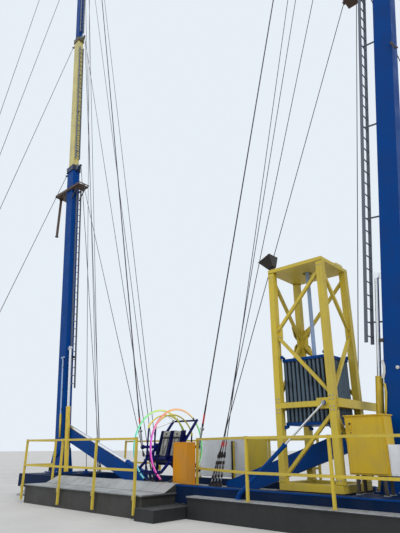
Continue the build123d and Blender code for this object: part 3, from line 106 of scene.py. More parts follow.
class Shader:
    """A material with one Principled shader, and short calls for the nodes that feed it."""

    def __init__(self, name):
        self.material = bpy.data.materials.new(name)
        self.material.use_nodes = True
        self.tree = self.material.node_tree
        self.tree.nodes.clear()
        self.surface = self.node("BsdfPrincipled")
        self.node("OutputMaterial", {0: self.surface.outputs[0]})
        self.place = self.node("TexCoord").outputs["Object"]

    def feed(self, made, inputs):
        """Gives each input of a node a plain value or the output that feeds it."""
        for key, value in inputs.items():
            if isinstance(value, bpy.types.NodeSocket):
                self.tree.links.new(value, made.inputs[key])
            else:
                made.inputs[key].default_value = value

    def node(self, kind, inputs=None, **settings):
        """A new node with its settings and inputs."""
        made = self.tree.nodes.new("ShaderNode" + kind)
        for key, value in settings.items():
            setattr(made, key, value)
        self.feed(made, inputs or {})
        return made

    def set(self, **inputs):
        """Feeds the Principled shader's own inputs, named in lower case."""
        titles = [key.replace("_", " ").title().replace("Ior", "IOR") for key in inputs]
        self.feed(self.surface, dict(zip(titles, inputs.values())))

    def noise(self, scale, detail=4, roughness=0.55, stretch=None):
        """Noise over the object's own place, stretched by a number for each axis if that is given."""
        place = self.place
        if stretch:
            place = self.node("Mapping", {0: place, "Scale": stretch}).outputs[0]
        inputs = {"Scale": scale, "Detail": detail, "Roughness": roughness, "Vector": place}
        return self.node("TexNoise", inputs).outputs["Fac"]

    def cells(self, scale):
        """The cell texture over the object's own place."""
        return self.node("TexVoronoi", {"Scale": scale, "Vector": self.place})

    def fade(self, value, low, high, start=0.0, end=1.0, course="SMOOTHSTEP"):
        """A number taken from low..high to start..end and held at both ends."""
        inputs = {"Value": value, "From Min": low, "From Max": high, "To Min": start, "To Max": end}
        return self.node("MapRange", inputs, interpolation_type=course).outputs[0]

    def normal(self):
        """The direction that the surface looks in."""
        return self.node("NewGeometry").outputs["Normal"]

    def part(self, vector, name):
        """One coordinate of a vector."""
        return self.node("SeparateXYZ", {0: vector}).outputs[name]

    def math(self, operation, *values):
        """A sum of numbers."""
        return self.node("Math", dict(enumerate(values)), operation=operation).outputs[0]

    def vector(self, operation, *values):
        """A sum of vectors, whose answer is a number for a length or a product."""
        made = self.node("VectorMath", dict(enumerate(values)), operation=operation)
        return made.outputs["Value" if operation in ("LENGTH", "DOT_PRODUCT") else "Vector"]

    def lozenges(self, shift, turn):
        """1 on the raised lozenges of a square pattern seen from above, and 0 between them."""
        scale = (1 / LOZENGE_PITCH, 1 / LOZENGE_PITCH, 0)
        grid = self.node("Mapping", {0: self.place, "Scale": scale, "Location": (shift, shift, 0)})
        centred = self.vector("SUBTRACT", self.vector("FRACTION", grid.outputs[0]), (0.5, 0.5, 0))
        inputs = {"Vector": centred, "Angle": math.radians(turn)}
        turned = self.node("VectorRotate", inputs, rotation_type="Z_AXIS").outputs[0]
        reach = self.vector("LENGTH", self.vector("MULTIPLY", turned, LOZENGE_SHAPE))
        return self.fade(reach, 1.0, 0.6)

    def mix(self, share, first, second):
        """A colour between two others."""
        return self.node("Mix", {0: share, 6: first, 7: second}, data_type="RGBA").outputs[2]

    def ramp(self, value, stops):
        """A colour read from stops of (place, colour)."""
        made = self.node("ValToRGB", {0: value})
        elements = made.color_ramp.elements
        while len(elements) < len(stops):
            elements.new(0.5)
        for element, (where, colour) in zip(elements, stops):
            element.position = where
            element.color = srgb(*colour)
        return made.outputs[0]

    def edges(self):
        """1 along the sharp edges, where paint wears off, and 0 on the flats."""
        rounded = self.node("Bevel", {"Radius": WORN_EDGE}, samples=4).outputs[0]
        return self.fade(self.vector("DOT_PRODUCT", rounded, self.normal()), 0.999, 0.93)

    def relief(self, height, distance, strength):
        """Raises the surface by a height."""
        inputs = {"Strength": strength, "Distance": distance, "Height": height}
        self.set(normal=self.node("Bump", inputs).outputs[0])


def painted(name, colour, wear=0.5, dirt=0.5, roughness=0.42, faded=0.25, shine=0.3):
    """Brushed-on machine paint: uneven fading, rain streaks, grime, and chips that gather on edges."""
    shader = Shader(name)
    patches = shader.noise(1.7, 5)
    bleached = blended(darker(colour, 0.86), srgb(190, 190, 180), faded * 0.35)
    base = shader.mix(shader.fade(patches, 0.35, 0.7), colour, bleached)
    streaks = shader.noise(5, 6, 0.6, stretch=(3.2, 3.2, 0.16))
    grimy = blended(colour, GRIME, 0.72)
    base = shader.mix(shader.fade(streaks, 0.5, 0.78, 0, dirt * 0.55), base, grimy)
    bias = shader.math("MULTIPLY", shader.edges(), 0.17 * wear)
    spots = shader.math("ADD", shader.noise(46, 8, 0.72), bias)
    chips = shader.fade(spots, 0.665 - 0.03 * wear, 0.69 - 0.03 * wear)
    gloss = shader.fade(patches, 0.3, 0.75, roughness - 0.08, roughness + 0.14)
    dull = shader.math("ADD", gloss, shader.math("MULTIPLY", chips, 0.35))
    shader.set(base_color=shader.mix(chips, base, RUST), roughness=dull, specular_ior_level=shine)
    fine = shader.math("MULTIPLY", shader.noise(150, 3), 0.25)
    shader.relief(shader.math("SUBTRACT", fine, chips), 0.0006, 0.6)
    return shader.material


def bare_steel(name, colour, roughness, stain):
    """Worked steel with a grain along Z and dull stains."""
    shader = Shader(name)
    marks = shader.noise(14, 6, 0.6, stretch=GRAIN)
    stains = shader.fade(shader.noise(3.1, 6, 0.65), 0.5, 0.72, 0, stain)
    dull = shader.fade(marks, 0.3, 0.7, roughness - 0.08, roughness + 0.16)
    shader.set(base_color=shader.mix(stains, colour, darker(colour, 0.35)), roughness=dull, metallic=0.9)
    shader.relief(marks, 0.0003, 0.5)
    return shader.material


def galvanised(name, colour):
    """Zinc with its crystal flakes."""
    shader = Shader(name)
    tone = shader.fade(shader.cells(60).outputs["Color"], 0.1, 0.9)
    clouds = shader.noise(6, 6)
    flaked = shader.mix(tone, darker(colour, 0.72), colour)
    base = shader.mix(shader.fade(clouds, 0.5, 0.8, 0, 0.6), flaked, darker(colour, 0.45))
    shader.set(base_color=base, roughness=shader.fade(clouds, 0.3, 0.7, 0.36, 0.6), metallic=0.75)
    shader.relief(clouds, 0.0005, 0.4)
    return shader.material


def tread_plate(name, colour, shaded_side_colour):
    """Worn deck sheet: raised lozenges both ways with dirt trodden in, and upright faces darker than the
    tops, which is painted shade.
    """
    shader = Shader(name)
    height = shader.math("MAXIMUM", shader.lozenges(0, 45), shader.lozenges(0.5, -45))
    trodden = shader.noise(2.2, 7, 0.62)
    base = shader.mix(shader.fade(trodden, 0.42, 0.7), colour, darker(colour, 0.72))
    base = shader.mix(shader.math("MULTIPLY", height, 0.25), base, srgb(214, 212, 206))
    base = shader.mix(shader.fade(shader.noise(60, 5), 0.55, 0.8, 0, 0.3), base, GRIME)
    level = shader.fade(shader.math("ABSOLUTE", shader.part(shader.normal(), "Z")), 0.3, 0.7)
    streaks = shader.fade(shader.noise(4, 6, 0.6, stretch=(2.6, 2.6, 0.3)), 0.4, 0.8)
    # Upright faces take a darker colour than the level tops: painted shade set by facing; the streaks on
    # them are dirt
    upright = shader.mix(streaks, shaded_side_colour, darker(shaded_side_colour, 0.78))
    dull = shader.fade(trodden, 0.3, 0.7, 0.45, 0.7)
    shader.set(base_color=shader.mix(level, upright, base), roughness=dull, metallic=0.25)
    shader.relief(shader.math("MULTIPLY", height, level), 0.0018, 0.7)
    return shader.material


def twisted(name, colour):
    """Greased wire rope: strands that wind round it, with painted shade darkening the grooves between them.
    """
    shader = Shader(name)
    inputs = {"Scale": ROPE_TURNS, "Distortion": 0.4, "Vector": shader.place}
    wave = shader.node("TexWave", inputs, wave_type="BANDS", bands_direction="DIAGONAL")
    strands = wave.outputs["Fac"]
    grease = shader.noise(7, 5)
    # The grooves between the strands are darker: painted shade
    shaded_strands = shader.mix(strands, darker(colour, 0.4), colour)
    base = shader.mix(shader.fade(grease, 0.5, 0.8, 0, 0.5), shaded_strands, darker(colour, 0.5))
    shader.set(base_color=base, roughness=shader.fade(grease, 0.3, 0.7, 0.38, 0.6), metallic=0.6)
    shader.relief(strands, 0.0015, 0.8)
    return shader.material


def lit_tube(name, stops):
    """A tube of lamps whose colour changes round the hoop; below, where it has none, it is navy."""
    shader = Shader(name)
    spoke = shader.vector("SUBTRACT", shader.place, CAPSULE_CENTRE)
    front = shader.math("MULTIPLY", shader.part(spoke, "Y"), -1)
    turn = shader.math("ARCTAN2", shader.part(spoke, "Z"), front)
    share = shader.fade(turn, -math.pi, math.pi, course="LINEAR")
    hue = shader.ramp(share, stops)
    beads = shader.math("PINGPONG", shader.math("MULTIPLY", turn, LAMP_BEADS), 1)
    core = shader.fade(shader.math("ABSOLUTE", shader.part(shader.normal(), "X")), 0.55, 0.98)
    bright = shader.math("ADD", 0.16, shader.math("MULTIPLY", beads, 0.12))
    glow = shader.mix(core, shader.mix(0.45, hue, BLACK), shader.mix(bright, hue, WHITE))
    below = shader.fade(shader.math("ABSOLUTE", shader.math("SUBTRACT", share, 0.25)), 0.108, 0.104)
    shader.set(
        base_color=shader.mix(below, shader.mix(0.6, hue, BLACK), srgb(12, 16, 44)), roughness=0.3,
        emission_color=shader.mix(below, glow, BLACK), emission_strength=LAMP_STRENGTH,
    )
    shader.relief(beads, 0.001, 0.3)
    return shader.material


def moulded(name, colour, roughness=0.36, shine=0.5):
    """Pigmented moulded plastic with a fine grain and rubbed patches."""
    shader = Shader(name)
    rubbed = shader.noise(9, 6, 0.6)
    pale = blended(colour, srgb(150, 150, 150), 0.06)
    base = shader.mix(shader.fade(rubbed, 0.5, 0.78, 0, 0.5), colour, pale)
    dull = shader.fade(rubbed, 0.3, 0.7, roughness, roughness + 0.2)
    shader.set(base_color=base, roughness=dull, specular_ior_level=shine)
    shader.relief(shader.noise(420, 2), 0.0002, 0.5)
    return shader.material


def vinyl(name, colour, shine=0.4):
    """Upholstery vinyl: leather grain, creases and soiling."""
    shader = Shader(name)
    creases = shader.noise(24, 6, 0.6)
    soil = shader.fade(shader.noise(7, 6, 0.6), 0.45, 0.75, 0, 0.65)
    dull = shader.fade(creases, 0.3, 0.7, 0.42, 0.62)
    base = shader.mix(soil, colour, darker(colour, 0.5))
    shader.set(base_color=base, roughness=dull, specular_ior_level=shine)
    leather = shader.math("MULTIPLY", shader.cells(260).outputs["Distance"], 0.4)
    shader.relief(shader.math("ADD", leather, creases), 0.0009, 0.6)
    return shader.material


def sleeved_rod(name, rod_colour, sleeve_colour, sleeve_top):
    """A bright ground rod that turns into a painted sleeve below a height."""
    shader = Shader(name)
    marks = shader.noise(14, 6, 0.6, stretch=GRAIN)
    streaks = shader.fade(shader.noise(6, 6, 0.6, stretch=(3, 3, 0.3)), 0.45, 0.75, 0, 0.45)
    bright = shader.fade(shader.part(shader.place, "Z"), sleeve_top - 0.004, sleeve_top + 0.004)
    shader.set(
        base_color=shader.mix(bright, shader.mix(streaks, sleeve_colour, GRIME), rod_colour),
        metallic=shader.math("MULTIPLY", bright, 0.9), roughness=shader.fade(marks, 0.3, 0.7, 0.26, 0.42),
    )
    shader.relief(marks, 0.0003, 0.5)
    return shader.material


def banded(name, lowest, bands):
    """Worn paint that follows the mast sections: one colour above each height."""
    shader = Shader(name)
    stains = shader.noise(9, 6, 0.62)
    height = shader.part(shader.place, "Z")
    base = lowest
    for limit, colour in bands:
        base = shader.mix(shader.fade(height, limit - 0.01, limit + 0.01), base, colour)
    base = shader.mix(shader.fade(stains, 0.42, 0.7, 0, 0.8), base, SOOT)
    shader.set(base_color=base, roughness=shader.fade(stains, 0.3, 0.7, 0.45, 0.7))
    shader.relief(stains, 0.0006, 0.5)
    return shader.material


MATERIALS = {}


def finish(name, make, *values, **options):
    """Makes a material and keeps it under its name."""
    MATERIALS[name] = make(name, *values, **options)


finish("blue_paint", painted, BLUE, wear=0.35, dirt=0.35, faded=0.03, shine=0.06)
# A darker copy of blue paint for the base frame: painted shade that the frame lies in, with real dirt
# streaks on top
finish("frame_blue", painted, srgb(4, 32, 68), dirt=0.8, roughness=0.5, faded=0.05, shine=0.06)
finish("navy_paint", painted, srgb(6, 20, 92), wear=0.3, dirt=0.3, faded=0.0, shine=0.08)
finish("light_blue_paint", painted, srgb(150, 176, 214), wear=0.2, dirt=0.4)
finish("mast_yellow_paint", painted, KHAKI, wear=0.45, dirt=0.7, faded=0.6)
finish("yellow_paint", painted, YELLOW, wear=0.7, dirt=0.55, shine=0.25)
# A brighter copy of yellow paint for the roll bars: painted light from the hoop lamps
finish("roll_bar_yellow", painted, srgb(240, 228, 96), wear=0.3, dirt=0.3, shine=0.2)
finish("cabinet_yellow_paint", painted, srgb(206, 172, 34), wear=0.3, dirt=0.4, roughness=0.4, shine=0.2)
finish("orange_paint", painted, srgb(214, 144, 28), wear=0.25, roughness=0.62, shine=0.05)
finish("dark_paint", painted, srgb(42, 36, 34), dirt=0.3, roughness=0.5)
finish("brown_paint", painted, srgb(74, 52, 40), wear=0.6, roughness=0.55)
finish("grey_paint", painted, srgb(92, 100, 114), dirt=0.4, roughness=0.5)
finish("white_steel", painted, srgb(214, 214, 210), dirt=0.6, roughness=0.4)
finish("pale_panel", painted, srgb(226, 229, 234), wear=0.2, dirt=0.4, roughness=0.4)
finish("collar_paint", banded, DEEP_BLUE, ((17, DULL_KHAKI), (25.5, DEEP_BLUE), (34, DULL_KHAKI)))
finish("cylinder_steel", sleeved_rod, srgb(205, 208, 212), srgb(214, 184, 56), CYLINDER_SLEEVE_TOP)
finish("bright_steel", bare_steel, srgb(214, 216, 220), roughness=0.24, stain=0.2)
finish("spring_steel", bare_steel, srgb(84, 98, 110), roughness=0.42, stain=0.7)
finish("galvanised_steel", galvanised, srgb(168, 171, 174))
finish("wire_rope", twisted, srgb(78, 78, 84))
# The second colour of each tread plate is the painted shade of its upright faces, darker on deck_plate than
# on boarding_plate
finish("deck_plate", tread_plate, DECK_SHEET, srgb(38, 39, 39))
finish("boarding_plate", tread_plate, DECK_SHEET, srgb(58, 58, 55))
finish("step_plate", tread_plate, srgb(54, 56, 58), srgb(40, 42, 44))
finish("hoop_cyan_light", lit_tube, (
    (0.00, (40, 190, 160)), (0.30, (60, 170, 184)), (0.44, (56, 184, 196)), (0.54, (70, 216, 190)),
    (0.62, (90, 228, 140)), (0.72, (196, 226, 60)), (0.82, (206, 198, 56)), (0.93, (70, 190, 110)),
))
finish("hoop_pink_light", lit_tube, (
    (0.00, (50, 190, 96)), (0.30, (224, 0, 140)), (0.44, (214, 6, 176)), (0.53, (206, 40, 214)),
    (0.60, (236, 96, 130)), (0.70, (240, 160, 50)), (0.82, (236, 184, 120)), (0.92, (100, 210, 130)),
))
finish("seat_shell", moulded, srgb(4, 12, 66), shine=0.12)
finish("strap", moulded, srgb(92, 94, 96), roughness=0.8, shine=0.1)
finish("red_tape", moulded, srgb(196, 40, 40), roughness=0.5)
finish("black_rubber", moulded, srgb(22, 22, 24), roughness=0.55)
finish("seam", moulded, srgb(34, 33, 33), roughness=0.8)
finish("grey_pad", vinyl, srgb(156, 156, 148))
finish("navy_vinyl", vinyl, srgb(8, 16, 64), shine=0.15)


# Camera, lights, floor and sky

CAMERA_PLACE = (9.53, -9.70, 1.45)
CAMERA_TURN = (math.radians(111), 0, math.radians(42.5))
CAMERA_LENS = 31.75
CAMERA_SENSOR = 36
SKY_SEEN = (0.80, 0.86, 0.93, 1)
SKY_LIGHT = (0.53, 0.56, 0.60, 1)
FLOOR_HALF = 160


def add_object(name, data):
    """A new object in the scene."""
    made = bpy.data.objects.new(name, data)
    bpy.context.scene.collection.objects.link(made)
    return made


def make_camera():
    """The camera at the photo's place."""
    data = bpy.data.cameras.new("camera")
    data.sensor_fit = "VERTICAL"
    data.sensor_width = data.sensor_height = CAMERA_SENSOR
    data.lens = CAMERA_LENS
    data.clip_start, data.clip_end = 0.05, 500
    camera = add_object("camera", data)
    camera.location = CAMERA_PLACE
    camera.rotation_euler = CAMERA_TURN
    bpy.context.scene.camera = camera


def make_world():
    """Soft light from all round, and a plain pale backdrop for the camera and for reflections."""
    world = bpy.data.worlds.new("studio")
    world.use_nodes = True
    nodes, links = world.node_tree.nodes, world.node_tree.links
    nodes.clear()
    light, seen, path, direct, mixed, output = (nodes.new("ShaderNode" + kind) for kind in (
        "Background", "Background", "LightPath", "Math", "MixShader", "OutputWorld",
    ))
    light.inputs[0].default_value = SKY_LIGHT
    seen.inputs[0].default_value = SKY_SEEN
    direct.operation = "MAXIMUM"
    for start, end in (
        (path.outputs["Is Camera Ray"], direct.inputs[0]), (path.outputs["Is Glossy Ray"], direct.inputs[1]),
        (direct.outputs[0], mixed.inputs[0]), (light.outputs[0], mixed.inputs[1]),
        (seen.outputs[0], mixed.inputs[2]), (mixed.outputs[0], output.inputs[0]),
    ):
        links.new(start, end)
    bpy.context.scene.world = world


def make_lamp(name, strength, turn, spread):
    """A far lamp with a soft shadow, aimed by a turn in degrees."""
    data = bpy.data.lights.new(name, "SUN")
    data.energy = strength
    data.angle = math.radians(spread)
    add_object(name, data).rotation_euler = [math.radians(a) for a in turn]


def make_floor():
    """A plain pale floor under the machine."""
    mesh = bpy.data.meshes.new("floor")
    shape = bmesh.new()
    bmesh.ops.create_grid(shape, x_segments=1, y_segments=1, size=FLOOR_HALF)
    shape.to_mesh(mesh)
    shape.free()
    shader = Shader("floor")
    cloud = shader.fade(shader.noise(0.6, 6), 0.3, 0.7)
    base = shader.mix(cloud, srgb(205, 203, 199), srgb(214, 212, 208))
    shader.set(base_color=base, roughness=0.9)
    mesh.materials.append(shader.material)
    add_object("floor", mesh)


make_camera()
make_world()
make_lamp("key", 1.35, (48, 0, 62), 24)
make_lamp("fill", 0.45, (62, 0, -28), 60)
make_floor()

bpy.context.scene.view_settings.view_transform = "Standard"


# CAD nodes that keep their shape take their finish here

OWN_FINISH = {
    "left_work_platform": "brown_paint", "right_work_platform": "brown_paint",
    # base_frame takes the darker blue, which is painted shade
    "entrance_step": "step_plate", "front_deck": "boarding_plate", "base_frame": "frame_blue",
    # capsule_roll_bars take the brighter yellow, which is painted light from the hoop lamps
    "capsule_roll_bars": "roll_bar_yellow",
    "left_mast_collars": "collar_paint", "right_mast_collars": "collar_paint",
}

for row in frame["record"]["subparts"]:
    node = frame["nodes"][row["node"]]
    node.data.materials.clear()
    node.data.materials.append(MATERIALS[OWN_FINISH.get(row["node"], row["material_slot"])])


# Small mesh pieces

CORNERS = ((-1, -1), (1, -1), (1, 1), (-1, 1))


class Piece:
    """One mesh that gathers many small shapes and then becomes an object on a CAD body."""

    def __init__(self, name):
        self.name = name
        self.shape = bmesh.new()

    def box(self, first, second, turn=None):
        """A box between two opposite corners, turned about its middle if turn is given."""
        low, high = (Vector(pick(pair) for pair in zip(first, second)) for pick in (min, max))
        matrix = Matrix.Translation((low + high) / 2)
        if turn is not None:
            matrix = matrix @ turn.to_4x4()
        bmesh.ops.create_cube(self.shape, size=1, matrix=matrix @ Matrix.Diagonal((*(high - low), 1)))

    def bar(self, start, end, width, depth, side=ALONG_Y):
        """A rectangular bar from start to end, its width along side."""
        run = end - start
        matrix = Matrix.Translation((start + end) / 2) @ frame_along(run, side).to_4x4()
        matrix = matrix @ Matrix.Diagonal((width, depth, run.length, 1))
        bmesh.ops.create_cube(self.shape, size=1, matrix=matrix)

    def rod(self, start, end, radius, sides=12, end_radius=None):
        """A round bar, tapered if end_radius is given."""
        run = end - start
        matrix = Matrix.Translation((start + end) / 2) @ frame_along(run, ALONG_Y).to_4x4()
        bmesh.ops.create_cone(
            self.shape, cap_ends=True, segments=sides, radius1=radius,
            radius2=radius if end_radius is None else end_radius, depth=run.length, matrix=matrix,
        )

    def skin(self, rings):
        """Faces from ring to ring of corners, and a cap at each end."""
        count = len(rings[0])
        for lower, upper in zip(rings, rings[1:]):
            for step in range(count):
                after = (step + 1) % count
                self.shape.faces.new((lower[step], lower[after], upper[after], upper[step]))
        self.shape.faces.new(reversed(rings[0]))
        self.shape.faces.new(rings[-1])

    def prism(self, outline, reach):
        """A flat plate: an outline of points, and the same outline moved by reach."""
        self.skin([
            [self.shape.verts.new(point + move) for point in outline] for move in (Vector(), reach)
        ])

    def sweep(self, points, outline, side):
        """A flat outline carried along a run of points."""
        rings = []
        for index, point in enumerate(points):
            run = points[min(index + 1, len(points) - 1)] - points[max(index - 1, 0)]
            turn = frame_along(run, side)
            rings.append([self.shape.verts.new(point + turn @ Vector((*spot, 0))) for spot in outline])
        self.skin(rings)

    def tube(self, points, radius, sides=10, side=ALONG_X):
        """A round tube through a run of points."""
        turns = [2 * math.pi * step / sides for step in range(sides)]
        self.sweep(points, [(radius * math.cos(turn), radius * math.sin(turn)) for turn in turns], side)

    def strap(self, points, width, thickness, side=ALONG_X):
        """A flat strap through a run of points, its width along side."""
        self.sweep(points, [(a * width / 2, b * thickness / 2) for a, b in CORNERS], side)

    def bolt(self, foot, axis, radius):
        """A washer, a six-sided head and the bolt's domed tip."""
        axis = Vector(axis).normalized() * radius
        self.rod(foot, foot + axis * 0.25, radius * 1.5, 12)
        self.rod(foot + axis * 0.2, foot + axis * 1.1, radius, 6)
        self.rod(foot + axis, foot + axis * 1.4, radius * 0.5, 8, radius * 0.35)

    def corner_bolts(self, x, y, z, reach, radius):
        """Four bolts on a level plate."""
        for a, b in CORNERS:
            self.bolt(Vector((x + a * reach, y + b * reach, z)), UP, radius)

    def bolt_circle(self, centre, axis, reach, count, first, radius):
        """Bolts on a circle about an axis, the first of them at an angle in degrees."""
        across, upward = [line for line in (ALONG_X, ALONG_Y, UP) if not line.dot(axis)]
        for index in range(count):
            angle = math.radians(first + 360 / count * index)
            spot = centre + (across * math.cos(angle) + upward * math.sin(angle)) * reach
            self.bolt(spot, axis, radius)

    def done(self, material, body="root", slot=None, replaces=(), smooth=False, bevel=0.0):
        """Makes the object, gives it its material and lets it ride on its body."""
        mesh = bpy.data.meshes.new(self.name)
        self.shape.to_mesh(mesh)
        self.shape.free()
        made = add_object(self.name, mesh)
        mesh.materials.append(MATERIALS[material])
        if smooth:
            mesh.shade_smooth()
        if bevel:
            rounding = made.modifiers.new("rounding", "BEVEL")
            rounding.width = bevel
            rounding.segments = 2
            rounding.limit_method = "ANGLE"
        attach(made, body)
        if replaces:
            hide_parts(*replaces)
        return made


def frame_along(run, side):
    """The turn whose Z lies along run and whose X is as near to side as it can be."""
    forward = run.normalized()
    if abs(forward.dot(side)) > 0.99:
        side = Vector((side.z, side.x, side.y))
    across = (side - forward * side.dot(forward)).normalized()
    return Matrix((across, forward.cross(across), forward)).transposed()


def mast_at(side, along, out=0.0, back=0.0):
    """A point of a mast: along its axis from the ground, outward from the ride and to the rear."""
    x = MAST_FOOT_X + along * math.sin(MAST_LEAN) + out * math.cos(MAST_LEAN)
    z = along * math.cos(MAST_LEAN) - out * math.sin(MAST_LEAN)
    return Vector((side * x, back, z))


# Springs: close-wound coils in place of the plain spring bank

SPRING_RADIUS = 0.046
SPRING_WIRE = 0.010
SPRING_COLUMNS, SPRING_COLUMN_PITCH = 11, 0.1
SPRING_ROWS, SPRING_ROW_PITCH = 9, 0.105
SPRING_TURN = 0.0185
SPRING_SIDES = 10
CUP_HEIGHT, CUP_LIP, CUP_SIDES = 0.016, 0.002, 14


def spring_places():
    """The places of the springs in the outer rows, about the middle of the bank."""
    low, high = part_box("spring_bank")
    middle = (low + high) / 2
    for column in range(SPRING_COLUMNS):
        for row in range(SPRING_ROWS):
            if column in (0, SPRING_COLUMNS - 1) or row in (0, SPRING_ROWS - 1):
                x = middle.x + (column - (SPRING_COLUMNS - 1) / 2) * SPRING_COLUMN_PITCH
                y = middle.y + (row - (SPRING_ROWS - 1) / 2) * SPRING_ROW_PITCH
                yield x, y


def add_spring(shape, x, y, low, high):
    """A wound spring: a tube whose wall swells and shrinks along a screw line."""
    rows = int((high - low) / SPRING_TURN) * 2
    rings = []
    for row in range(rows + 1):
        radius = SPRING_RADIUS - (SPRING_WIRE * 0.55 if row % 2 else 0)
        ring = []
        for step in range(SPRING_SIDES):
            angle = 2 * math.pi * step / SPRING_SIDES
            rise = (row / 2 + step / SPRING_SIDES) * SPRING_TURN
            z = min(max(low + rise - SPRING_TURN, low), high)
            ring.append(shape.verts.new((x + radius * math.cos(angle), y + radius * math.sin(angle), z)))
        rings.append(ring)
    for lower, upper in zip(rings, rings[1:]):
        for step in range(SPRING_SIDES - 1):
            shape.faces.new((lower[step], lower[step + 1], upper[step + 1], upper[step]))
    for lower, upper, turned, turned_upper in zip(rings, rings[1:], rings[2:], rings[3:]):
        shape.faces.new((lower[-1], turned[0], turned_upper[0], upper[-1]))
    shape.faces.new(reversed(rings[0]))
    shape.faces.new(rings[-1])


def make_springs():
    """The wound springs, and a turned cup at each end of each."""
    low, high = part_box("spring_bank")
    coils, cups = Piece("coil_springs"), Piece("spring_cups")
    for x, y in spring_places():
        add_spring(coils.shape, x, y, low.z, high.z)
        for z, rise in ((low.z, CUP_HEIGHT), (high.z, -CUP_HEIGHT)):
            foot = Vector((x, y, z))
            cups.rod(foot, foot + UP * rise, SPRING_RADIUS + CUP_LIP, CUP_SIDES)
    coils.done("spring_steel", replaces=["spring_bank"], smooth=True)
    cups.done("dark_paint")


make_springs()


# Decks: covers over the front beam, seams, edge strips and their screws

BEAM_FRONT_Y, BEAM_REAR_Y = -1.25, -1.05
COVER_LEFT_X, COVER_RIGHT_X = -3.98, 1.03
DESK_GAP_X = 0.60
RAMP_LENGTH, REAR_RAMP_LENGTH = 0.36, 0.24
COVER_THICKNESS, COVER_LAP = 0.006, 0.008
SHEET_LENGTH, SHEET_GAP = 1.25, 0.006
RAMP_CLEARANCE = 0.02
FRONT_SHEETS = ((-4.0, -2.30), (1.05, BEAM_FRONT_Y - RAMP_LENGTH - RAMP_CLEARANCE), DECK_TOP)
CENTRE_SHEETS = ((-4.0, BEAM_REAR_Y + REAR_RAMP_LENGTH + RAMP_CLEARANCE), (3.4, 1.05), DECK_TOP)
RIGHT_SHEETS = ((1.65, -1.55), (7.00, -1.25), 0.45)
SEAM_HALF, SEAM_HEIGHT, SEAM_INSET = 0.004, 0.0015, 0.01
SCREW_SHARES = (0.08, 0.36, 0.64, 0.92)
SCREW_RADIUS, SCREW_TOP_RADIUS, SCREW_HEIGHT, SCREW_INSET = 0.011, 0.007, 0.004, 0.04
EDGE_THICKNESS, EDGE_WIDTH, EDGE_DROP = 0.003, 0.03, 0.022
FRAME_END_X = 6.3
END_PLATE_THICKNESS = 0.012
FOOT_XS, FOOT_Y, FOOT_PLATE_TOP = (-5.9, -2.0, 2.0, 5.9), 1.15, 0.04


def make_beam_covers():
    """Tread plates that carry the boarding deck over the frame's front beam and down behind it."""
    piece = Piece("beam_covers")
    rise, low = FRAME_TOP + COVER_THICKNESS, DECK_TOP + COVER_THICKNESS / 2
    front_y = BEAM_FRONT_Y - RAMP_LENGTH
    front_run = ((front_y, low), (BEAM_FRONT_Y - COVER_LAP, rise), (BEAM_REAR_Y + COVER_LAP, rise))
    whole_run = front_run + ((BEAM_REAR_Y + REAR_RAMP_LENGTH, low),)
    for low_x, high_x, run in (
        (COVER_LEFT_X, DESK_GAP_X, whole_run), (DESK_GAP_X, COVER_RIGHT_X, front_run),
    ):
        sheets = max(1, round((high_x - low_x) / SHEET_LENGTH))
        length = (high_x - low_x) / sheets
        for sheet in range(sheets):
            middle = low_x + length * (sheet + 0.5)
            for start, end in zip(run, run[1:]):
                points = Vector((middle, *start)), Vector((middle, *end))
                piece.bar(*points, length - SHEET_GAP, COVER_THICKNESS, side=ALONG_X)
    cheek = ((front_y, DECK_TOP), (BEAM_FRONT_Y, DECK_TOP), (BEAM_FRONT_Y, FRAME_TOP))
    for x in (COVER_LEFT_X, COVER_RIGHT_X - COVER_THICKNESS):
        piece.prism([Vector((x, *corner)) for corner in cheek], ALONG_X * COVER_THICKNESS)
    bmesh.ops.recalc_face_normals(piece.shape, faces=piece.shape.faces[:])
    piece.done("boarding_plate", slot="deck_plate")


def make_deck_trim():
    """Seams between the deck sheets, rows of screws and bright edge strips."""
    seams, screws, edges = Piece("deck_seams"), Piece("deck_screws"), Piece("deck_edges")
    for (low_x, low_y), (high_x, high_y), top in (FRONT_SHEETS, CENTRE_SHEETS, RIGHT_SHEETS):
        count = max(1, round((high_x - low_x) / SHEET_LENGTH))
        step = (high_x - low_x) / count
        for index in range(1, count):
            x = low_x + step * index
            seams.box(
                (x - SEAM_HALF, low_y + SEAM_INSET, top),
                (x + SEAM_HALF, high_y - SEAM_INSET, top + SEAM_HEIGHT),
            )
        for index in range(count):
            for share in SCREW_SHARES:
                for y in (low_y + SCREW_INSET, high_y - SCREW_INSET):
                    foot = Vector((low_x + step * (index + share), y, top))
                    screws.rod(foot, foot + UP * SCREW_HEIGHT, SCREW_RADIUS, 10, SCREW_TOP_RADIUS)
    for (low_x, front_y), (high_x, _), top in (FRONT_SHEETS, RIGHT_SHEETS):
        crest = top + EDGE_THICKNESS
        edges.box((low_x, front_y - EDGE_THICKNESS, top - EDGE_DROP), (high_x, front_y, crest))
        edges.box((low_x, front_y, top), (high_x, front_y + EDGE_WIDTH, crest))
    (_, front_y), (end_x, rear_y), top = FRONT_SHEETS
    crest = top + EDGE_THICKNESS
    edges.box((end_x, front_y, top - EDGE_DROP), (end_x + EDGE_THICKNESS, BEAM_FRONT_Y, crest))
    edges.box((end_x - EDGE_WIDTH, front_y + EDGE_WIDTH, top), (end_x, rear_y, crest))
    seams.done("seam", slot="deck_plate")
    screws.done("bright_steel", slot="cylinder_steel")
    edges.done("galvanised_steel")


